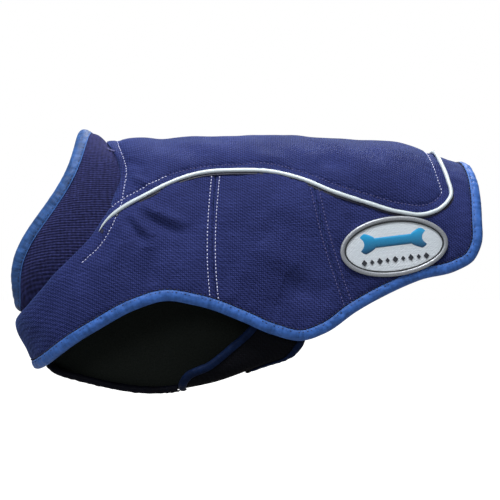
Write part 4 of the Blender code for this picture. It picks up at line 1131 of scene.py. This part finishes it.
def build_trims():
    """Hem tape, piping, and every row of sewing."""
    fine_hem = even(body, hem, HEM_SAMPLES)
    binding("hem_tape", body, fine_hem, -1, BINDING_WIDTH, STACK, BINDING, "coat",
            ("hem_binding",), 33, middle=-SEAM_GAP / 2)
    run = np.linspace(0, 1, TRIM_SAMPLES)
    tip = [seen_at(*p) for p in PIPING_TIP]
    line = curve_through(body, [*tip, *part_of(piping, np.linspace(0.075, 1, 60))], TRIM_SAMPLES)
    out = normal(body, line)
    path = both_sides(body(line) + out * (PIPING_LIFT + 0.0002))
    lift = both_sides(out)
    taper = np.clip(run / PIPING_TAPER[0], PIPING_TAPER[1], 1) ** PIPING_TAPER[2]
    girth = 0.92 * PIPING_RADIUS + 0.00008 * ripples(path, 0.012, 41)
    radius = np.concatenate([taper, taper[-2::-1]]) * girth
    tube("piping_cord", path, radius, PIPING, "coat", "reflective_piping", ("reflective_piping",), 16, lift)
    # A dark strip beside the cord on the side panels: the piping's flange, drawn in dark thread as a painted
    # shadow under the cord
    shadow_flange = np.stack([beside(body, line, d) for d in np.linspace(*SHADOW_FLANGE, 5)])
    for side, mirror in SIDES:
        outer = skin(body, shadow_flange, -SHADOW_FLANGE_TOP) * mirror
        inner = skin(body, shadow_flange, SHADOW_FLANGE_FOOT) * mirror
        slab(f"{side}_piping_shadow_flange", outer, inner, turn_sheet(shadow_flange), DARK_THREAD, "coat",
             "reflective_piping")
    for seam, rows, finish in (("front", front_rows, LIGHT_THREAD), ("rear", rear_rows, MID_THREAD)):
        for number, row in enumerate(rows, 1):
            length = run_along(body(row))[-1]
            shares = np.linspace(0.0035 / length, 1 - (BINDING_WIDTH + 0.0005) / length, 241)
            points, out = cloth_row(part_of(row, shares), SIDE_PUFF)
            nodes = [(f"{side}_{seam}_seam_stitching_{number}",) for side in ("left", "right")]
            mirrored(f"{seam}_seam_sewing_{number}", points, out, finish, nodes)
    shares = np.linspace(0.02, 1, 500)
    points, out = cloth_row(part_of(piping_row, shares), SPINE_PUFF)
    # The middle of the one row along the piping takes the mid thread and its ends the light thread: painted
    # shade on a single thread
    first, last = PIPING_SHADED_STRETCH
    mirrored("piping_front_sewing", points[:first], out[:first], LIGHT_THREAD)
    mirrored("piping_middle_sewing", points[first:last], out[first:last], MID_THREAD)
    both = both_sides(points[last:]), both_sides(out[last:])
    stitches("piping_tail_sewing", *both, LIGHT_THREAD, "coat", ("piping_stitching",))
    points, out = cloth_row(part_of(collar_row, np.linspace(0, 1, 400)), SIDE_PUFF)
    mirrored("collar_sewing", points, out, LIGHT_THREAD, (("collar_stitching",), ()))
    for name, face, line, distance in (
        ("hem_edge_sewing", body, fine_hem, HEM_SEWING_INSET - BINDING_WIDTH),
        ("neck_edge_sewing", collar, neck_line(0.01), NECK_BINDING_WIDTH - NECK_SEWING_INSET),
    ):
        place = beside(face, line, distance)
        out = normal(face, place)
        mirrored(name, face(place) + out * TAPE_SEWING_LIFT, out, DARK_THREAD, pitch=EDGE_STITCH_PITCH)
    points, out = cloth_row(beside(body, fine_hem, -(BINDING_WIDTH + 0.0014)), SIDE_PUFF)
    mirrored("hem_top_sewing", points, out, DARK_THREAD, pitch=0.0034, radius=0.0005)
    # A thin tube along the sewn edge of the hem and neck tapes, in the lighter blue: a painted highlight on
    # their folded edges
    for name, face, line, distance in (
        ("hem_tape_edge", body, fine_hem, -(BINDING_WIDTH + 0.0001)),
        ("neck_tape_edge", collar, neck_line(0), NECK_BINDING_WIDTH + 0.0001),
    ):
        edge = beside(face, line, distance)
        out = both_sides(normal(face, edge))
        path = both_sides(face(edge)) + out * TAPE_HIGHLIGHT_LIFT
        tube(name, path, TAPE_HIGHLIGHT_RADIUS, TAPE_HIGHLIGHT, "coat", "binding_tape", (), 6, out)


def badge_layer(name, across, up, low, high, finish, slot_name, nodes=()):
    """A layer of the badge between two heights above the cloth; cloth coordinates are the drawing's."""
    place = badge_places(across, up)
    uv = np.stack([across, up], -1)
    return slab(name, skin(body, place, -high), skin(body, place, -low), uv, finish, "coat", slot_name, nodes)


def build_badge():
    """Woven badge: corded rim, thin dark ring, off-white ground, an embroidered bone over diamonds."""
    spread = np.linspace(0, 2 * math.pi, 181)
    for name, size, radius, height, finish, slot_name, nodes in (  # height is in radii
        ("badge_cord", 0.0, 0.0017, 1.0, RIM, "badge_rim", ("badge_rim",)),
        ("badge_inner_cord", 0.0026, 0.0006, 2.6, RING, "badge_bar", ()),
    ):
        x = (BADGE_LENGTH / 2 - size) * np.cos(spread)
        y = (BADGE_HEIGHT / 2 - size) * np.sin(spread)
        place = badge_places(x, y)
        out = normal(body, place)
        middle = body(place) + out * (BADGE_BASE + radius * height)
        along = unit(np.gradient(middle, axis=0))
        side = unit(np.cross(along, out))
        turn = np.linspace(0, 2 * math.pi, 20, endpoint=False)
        wide, tall = radius * 1.15, radius * 0.75
        ring = np.cos(turn)[:, None] * side[:, None] * wide + np.sin(turn)[:, None] * out[:, None] * tall
        points = (middle[:, None] + ring)[:-1]
        index = np.arange(points.shape[0] * points.shape[1]).reshape(points.shape[:2])
        ahead = np.roll(index, -1, 0)
        faces = np.stack([index, np.roll(index, -1, 1), np.roll(ahead, -1, 1), ahead], -1).reshape(-1, 4)
        run = spread[:-1] * 0.036
        uv = np.stack(np.broadcast_arrays(run[:, None], turn[None] * radius), -1)
        make(name, points.reshape(-1, 3), faces, uv.reshape(-1, 2), finish, "coat", slot_name, nodes,
             sharp=80)
    inset = BADGE_RIM_RADIUS * 0.6
    x, y = disc(BADGE_LENGTH / 2 - inset, BADGE_HEIGHT / 2 - inset, 61, 41)
    badge_layer("badge_field", x, y, FIELD_FOOT, FIELD_TOP, GROUND, "badge_ground", ("badge_ground",))
    x, y = np.meshgrid(np.linspace(-1, 1, 121), np.linspace(1, -1, 31))
    knob = BONE_HALF_WIDTH + BONE_KNOB * np.clip((np.abs(x) - 0.55) / 0.3, 0, 1) ** 0.7
    knob = knob * np.sqrt(np.clip(1 - np.clip((np.abs(x) - 0.8) / 0.26, 0, 1) ** 2, 0.2, 1))
    across, up = BONE_HALF_LENGTH * x * (1 - 0.12 * (1 - y * y) * x * x), BONE_RISE + knob * y
    place = badge_places(across, up)
    crown = FIELD_TOP + 0.0008 * (1 - y**4) * (1 - np.abs(x) ** 12)
    uv = np.stack([across, up], -1)
    slab("badge_bone_embroidery", skin(body, place, -crown), skin(body, place, -0.0018), uv, EMBLEM, "coat",
         "badge_emblem", ("badge_bone",))
    x, y = np.meshgrid(np.linspace(-1, 1, 9), np.linspace(1, -1, 9))
    for number in range(DIAMONDS):
        tip = DIAMOND_SIZE * (0.75 if number % 2 else 1.0)
        across = (x + y) / 2 * tip * 0.85 + (number - DIAMONDS // 2) * DIAMOND_PITCH
        up = (y - x) / 2 * tip - DIAMOND_DROP
        badge_layer(f"badge_diamond_{number + 1}", across, up, 0.0018, 0.0027, MARK, "badge_bar",
                    ("badge_bar",) if number == 0 else ())


def flap_sheet(name, place, depth, thickness, finish, slot_name, body_name, nodes, mirror=SIDES[0][1]):
    """A ply of the belly flap."""
    outer = skin(flap, place, depth) * mirror
    inner = skin(flap, place, depth + thickness) * mirror
    sheet(name, outer, inner, turn_sheet(place), finish, body_name, slot_name, nodes)


def build_strap():
    """Belly strap with its lining, bindings and leg gussets."""
    start = chest_end + FLAP_SET_BACK / np.linalg.norm(slopes(body, np.array([chest_end, math.pi]))[0])
    edge = [(start, STRAP_FRONT_HALF_WIDTH)] + [(s, share * STRAP_HALF_WIDTH) for s, share in STRAP_EDGE]
    edge = edge + [(FOLD[0], FOLD_HALF_WIDTH - FOLD_GAP / 2)]
    left = curve_through(flap, [flap_place(*knot) for knot in edge])
    widths = np.linspace(1, -1, 41) * (FOLD_HALF_WIDTH - FOLD_GAP / 2)
    rear = even(flap, np.array([flap_place(FOLD[1], width) for width in widths]))
    room = edge_room(FLAP_STACK)
    across = np.linspace(0, 1, 41)
    side = part_of(beside(flap, left, room), np.linspace(0, 1, 80))
    back = part_of(beside(flap, rear, room), across)
    fold = mixed(flap_place(*edge[-1]), back[0], np.linspace(0, 1, 24))
    top = np.concatenate([side, fold[1:]])
    other = top * [1, -1] + [0, 2 * math.pi]
    place = patch(top, other, mixed(top[0], other[0], across), back, across)
    flap_sheet("belly_strap_cloth", place, 0.0, FLAP_SHELL_THICKNESS, FLAP_SHELL, "shell_cloth", "belly_flap",
               ("belly_strap",))
    flap_sheet("belly_strap_lining_cloth", place, FLAP_LINING_DEPTH, FLAP_LINING_THICKNESS, LINING,
               "lining_cloth", "belly_flap", ("belly_strap_lining",))
    piece = binding("left_strap_tape", flap, left[:-3], 1, FLAP_BINDING_WIDTH, FLAP_STACK, STRAP_TAPE,
                    "belly_flap", ("left_strap_binding",), 61)
    mirror_piece(piece, "right_strap_tape", ("right_strap_binding",), "belly_flap")
    binding("rear_strap_tape", flap, part_of(rear, np.linspace(0, 1, 160)), 1, FLAP_BINDING_WIDTH, FLAP_STACK,
            STRAP_TAPE, "belly_flap", ("rear_strap_binding",), 63)
    build_leg_gussets(start)


def mirror_piece(piece, name, nodes, body_name):
    """The same piece on the dog's right side."""
    mesh = piece.data.copy()
    mesh.name = name
    points = np.zeros(len(mesh.vertices) * 3, np.float32)
    mesh.vertices.foreach_get("co", points)
    points = points.reshape(-1, 3) * np.array([1, -1, 1], np.float32)
    mesh.vertices.foreach_set("co", points.ravel())
    mesh.flip_normals()
    copy = bpy.data.objects.new(name, mesh)
    bpy.context.scene.collection.objects.link(copy)
    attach(copy, body_name)
    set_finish(copy, piece["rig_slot"])
    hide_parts(*nodes)
    return copy


def build_leg_gussets(start):
    """Black gussets that stand up from the strap, between the dog's chest and its forelegs. Their near-black
    is painted shade: it fills the leg openings with the dark of the coat's shaded inside.
    """
    knots = np.array([(start, STRAP_FRONT_HALF_WIDTH / STRAP_HALF_WIDTH), *STRAP_EDGE, (FOLD[0], 1.3)])
    top = np.array(LEG_GUSSET_TOP)
    run = run_along(top)
    columns = []
    for share in np.linspace(0, 1, 80):
        s = np.interp(share, (0, 1), (start + LEG_GUSSET_FOOT[0], LEG_GUSSET_FOOT[1]))
        width = np.interp(s, knots[:, 0], knots[:, 1]) * STRAP_HALF_WIDTH - LEG_GUSSET_INSET
        foot = skin(flap, np.array(flap_place(s, width)), FLAP_STACK + LEG_GUSSET_CLEARANCE)
        along, down = (np.interp(share * run[-1], run, top[:, k]) for k in (0, 1))
        head = in_metres(along, 0.0, down) + [0, foot[1] - LEG_GUSSET_LEAN, 0]
        columns.append(mixed(head, foot, np.linspace(0, 1, 24)))
    outer = np.stack(columns, 1)
    outer[..., 1] -= 0.0006 * (ripples(outer, 0.03, 71) + 1) * 0.5
    inner = outer + [0, LEG_GUSSET_THICKNESS, 0]
    uv = outer[..., [0, 2]]
    for side, mirror in SIDES:
        sheet(f"{side}_leg_gusset_cloth", outer * mirror, inner * mirror, uv, SHADE_GUSSET, "belly_flap",
              "lining_cloth", (f"{side}_leg_gusset",))


def build_wings():
    """The flap's wings with their linings, bindings and tapes."""
    ends = [flap_place(s, FOLD_HALF_WIDTH + FOLD_GAP / 2) for s in FOLD]
    outline = curve_through(flap, [ends[0], *(seen_at(*p) for p in WING), ends[1]])
    cloth = beside(flap, outline, edge_room(FLAP_STACK))
    corners = [share_near(outline, seen_at(*p)) for p in WING_CORNERS]
    coarse = [np.linspace(0, corners[0], WING_ROWS), np.linspace(*corners, WING_COLUMNS),
              np.linspace(corners[1], 1, WING_ROWS)]
    front, top, rear = (part_of(cloth, finer(shares, 4)) for shares in coarse)
    rows = finer(np.linspace(0, 1, WING_ROWS), 4)
    base = mixed(front[0], rear[-1], np.linspace(0, 1, (WING_COLUMNS - 1) * 4 + 1))
    place = patch(top, base, front[::-1], rear, rows)
    tape = place[TAPE_ROWS.start * 4:(TAPE_ROWS.stop - 1) * 4 + 1,
                 TAPE_COLUMNS.start * 4:(WING_COLUMNS + TAPE_COLUMNS.stop - 1) * 4 + 1]
    # The wing's binding in that darkened blue: painted shade
    piece = binding("left_wing_tape", flap, part_of(outline, np.linspace(0, 1, 500)), 1, FLAP_BINDING_WIDTH,
                    FLAP_STACK, SHADED_FLAP_TAPE, "left_flap_wing", ("left_wing_binding",), 65)
    mirror_piece(piece, "right_wing_tape", ("right_wing_binding",), "right_flap_wing")
    for side, mirror in SIDES:
        on_wing = f"{side}_flap_wing"
        flap_sheet(f"{side}_wing_cloth", place, 0.0, FLAP_SHELL_THICKNESS, FLAP_SHELL, "shell_cloth", on_wing,
                   (f"{side}_wing",), mirror)
        flap_sheet(f"{side}_wing_lining_cloth", place, FLAP_LINING_DEPTH, FLAP_LINING_THICKNESS, LINING,
                   "lining_cloth", on_wing, (f"{side}_wing_lining",), mirror)
        uv = turn_sheet(tape)
        slab(f"{side}_hook_strip", skin(flap, tape, -PLY_GAP - HOOK_TAPE_THICKNESS) * mirror,
             skin(flap, tape, -PLY_GAP) * mirror, uv, HOOK, on_wing, "hook_and_loop_tape",
             (f"{side}_hook_tape",))
        slab(f"{side}_loop_strip", skin(body, tape, LOOP_DEPTH) * mirror,
             skin(body, tape, LOOP_DEPTH + LOOP_TAPE_THICKNESS) * mirror, uv, LOOP, "coat",
             "hook_and_loop_tape", (f"{side}_loop_tape",))


def build_lead_slot():
    """A bar of close stitches across the seam at each end of the lead slot."""
    turns = np.linspace(0, math.pi / 2, 200)
    reach = np.abs(body(np.stack([np.zeros_like(turns), turns], -1))[:, 1])
    turn = np.interp(LEAD_SLOT_LENGTH / 2 + 0.001, reach, turns)
    ends = [skin(face, np.array([far, turn]), -0.001) for face, far in ((collar, 0.16), (body, 0.008))]
    out = normal(body, np.array([0.0, turn]))
    side = unit(np.cross(ends[1] - ends[0], out))
    path = mixed(ends[0], ends[1], np.linspace(0, 1, TACK_STITCHES))
    zigzag = path + side * (TACK_HALF_WIDTH * (-1.0) ** np.arange(TACK_STITCHES))[:, None]
    for name, mirror in SIDES:
        tube(f"{name}_slot_tack", dense(zigzag, 0.0003) * mirror, 0.00035, MID_THREAD, "coat",
             "sewing_thread", (f"{name}_lead_slot_tack",), 8, out * mirror)


def build_studio():
    """Floor, world, lights and camera."""
    scene = bpy.context.scene
    mesh = bpy.data.meshes.new("floor")
    signs = ((-1, -1), (1, -1), (1, 1), (-1, 1))
    corners = [(x * FLOOR_REACH, y * FLOOR_REACH, FLOOR_LEVEL) for x, y in signs]
    mesh.from_pydata(corners, [], [(0, 1, 2, 3)])
    floor = bpy.data.objects.new("floor", mesh)
    scene.collection.objects.link(floor)
    pale = Finish("pale_floor", Roughness=0.9, Base_Color=(0.3, 0.3, 0.3, 1), Emission_Strength=1.0)
    seen = pale.node("ShaderNodeLightPath")
    pale.feed("Emission Color", pale.mix(seen, (0.0, 0.0, 0.0), (1.0, 1.0, 1.0)))
    mesh.materials.append(pale.material)
    world = bpy.data.worlds.new("studio")
    world.use_nodes = True
    background = world.node_tree.nodes["Background"]
    background.inputs[1].default_value = WORLD_STRENGTH
    backdrop = world.node_tree.nodes.new("ShaderNodeBackground")
    backdrop.inputs[1].default_value = 1.0
    backdrop.inputs[0].default_value = (1.0, 1.0, 1.0, 1)
    seen = world.node_tree.nodes.new("ShaderNodeLightPath")
    either = world.node_tree.nodes.new("ShaderNodeMixShader")
    link = world.node_tree.links.new
    aim = world.node_tree.nodes.new("ShaderNodeTexCoord")
    split = world.node_tree.nodes.new("ShaderNodeSeparateXYZ")
    fall = world.node_tree.nodes.new("ShaderNodeMapRange")
    for socket, value in zip(fall.inputs[1:5], WORLD_FALL):
        socket.default_value = value
    link(aim.outputs["Generated"], split.inputs[0])
    link(split.outputs[2], fall.inputs[0])
    link(fall.outputs[0], background.inputs[0])
    link(seen.outputs["Is Camera Ray"], either.inputs[0])
    link(background.outputs[0], either.inputs[1])
    link(backdrop.outputs[0], either.inputs[2])
    link(either.outputs[0], world.node_tree.nodes["World Output"].inputs[0])
    scene.world = world
    scene.view_settings.view_transform = "Standard"
    for name, place, target, power, width in LIGHTS:
        data = bpy.data.lights.new(name, "AREA")
        data.energy = power
        data.size = width
        lamp = bpy.data.objects.new(name, data)
        scene.collection.objects.link(lamp)
        lamp.location = place
        lamp.rotation_euler = (Vector(target) - Vector(place)).to_track_quat("-Z", "Y").to_euler()
    camera = bpy.data.objects.new("camera", bpy.data.cameras.new("camera"))
    scene.collection.objects.link(camera)
    camera.location = CAMERA_PLACE
    camera.rotation_euler = (math.pi / 2, 0, 0)
    camera.data.lens = CAMERA_LENS
    camera.data.sensor_width = 36.0
    camera.data.clip_start = 0.01
    scene.camera = camera


build_studio()
build_panels()
build_collar()
build_trims()
build_badge()
build_lead_slot()
build_strap()
build_wings()
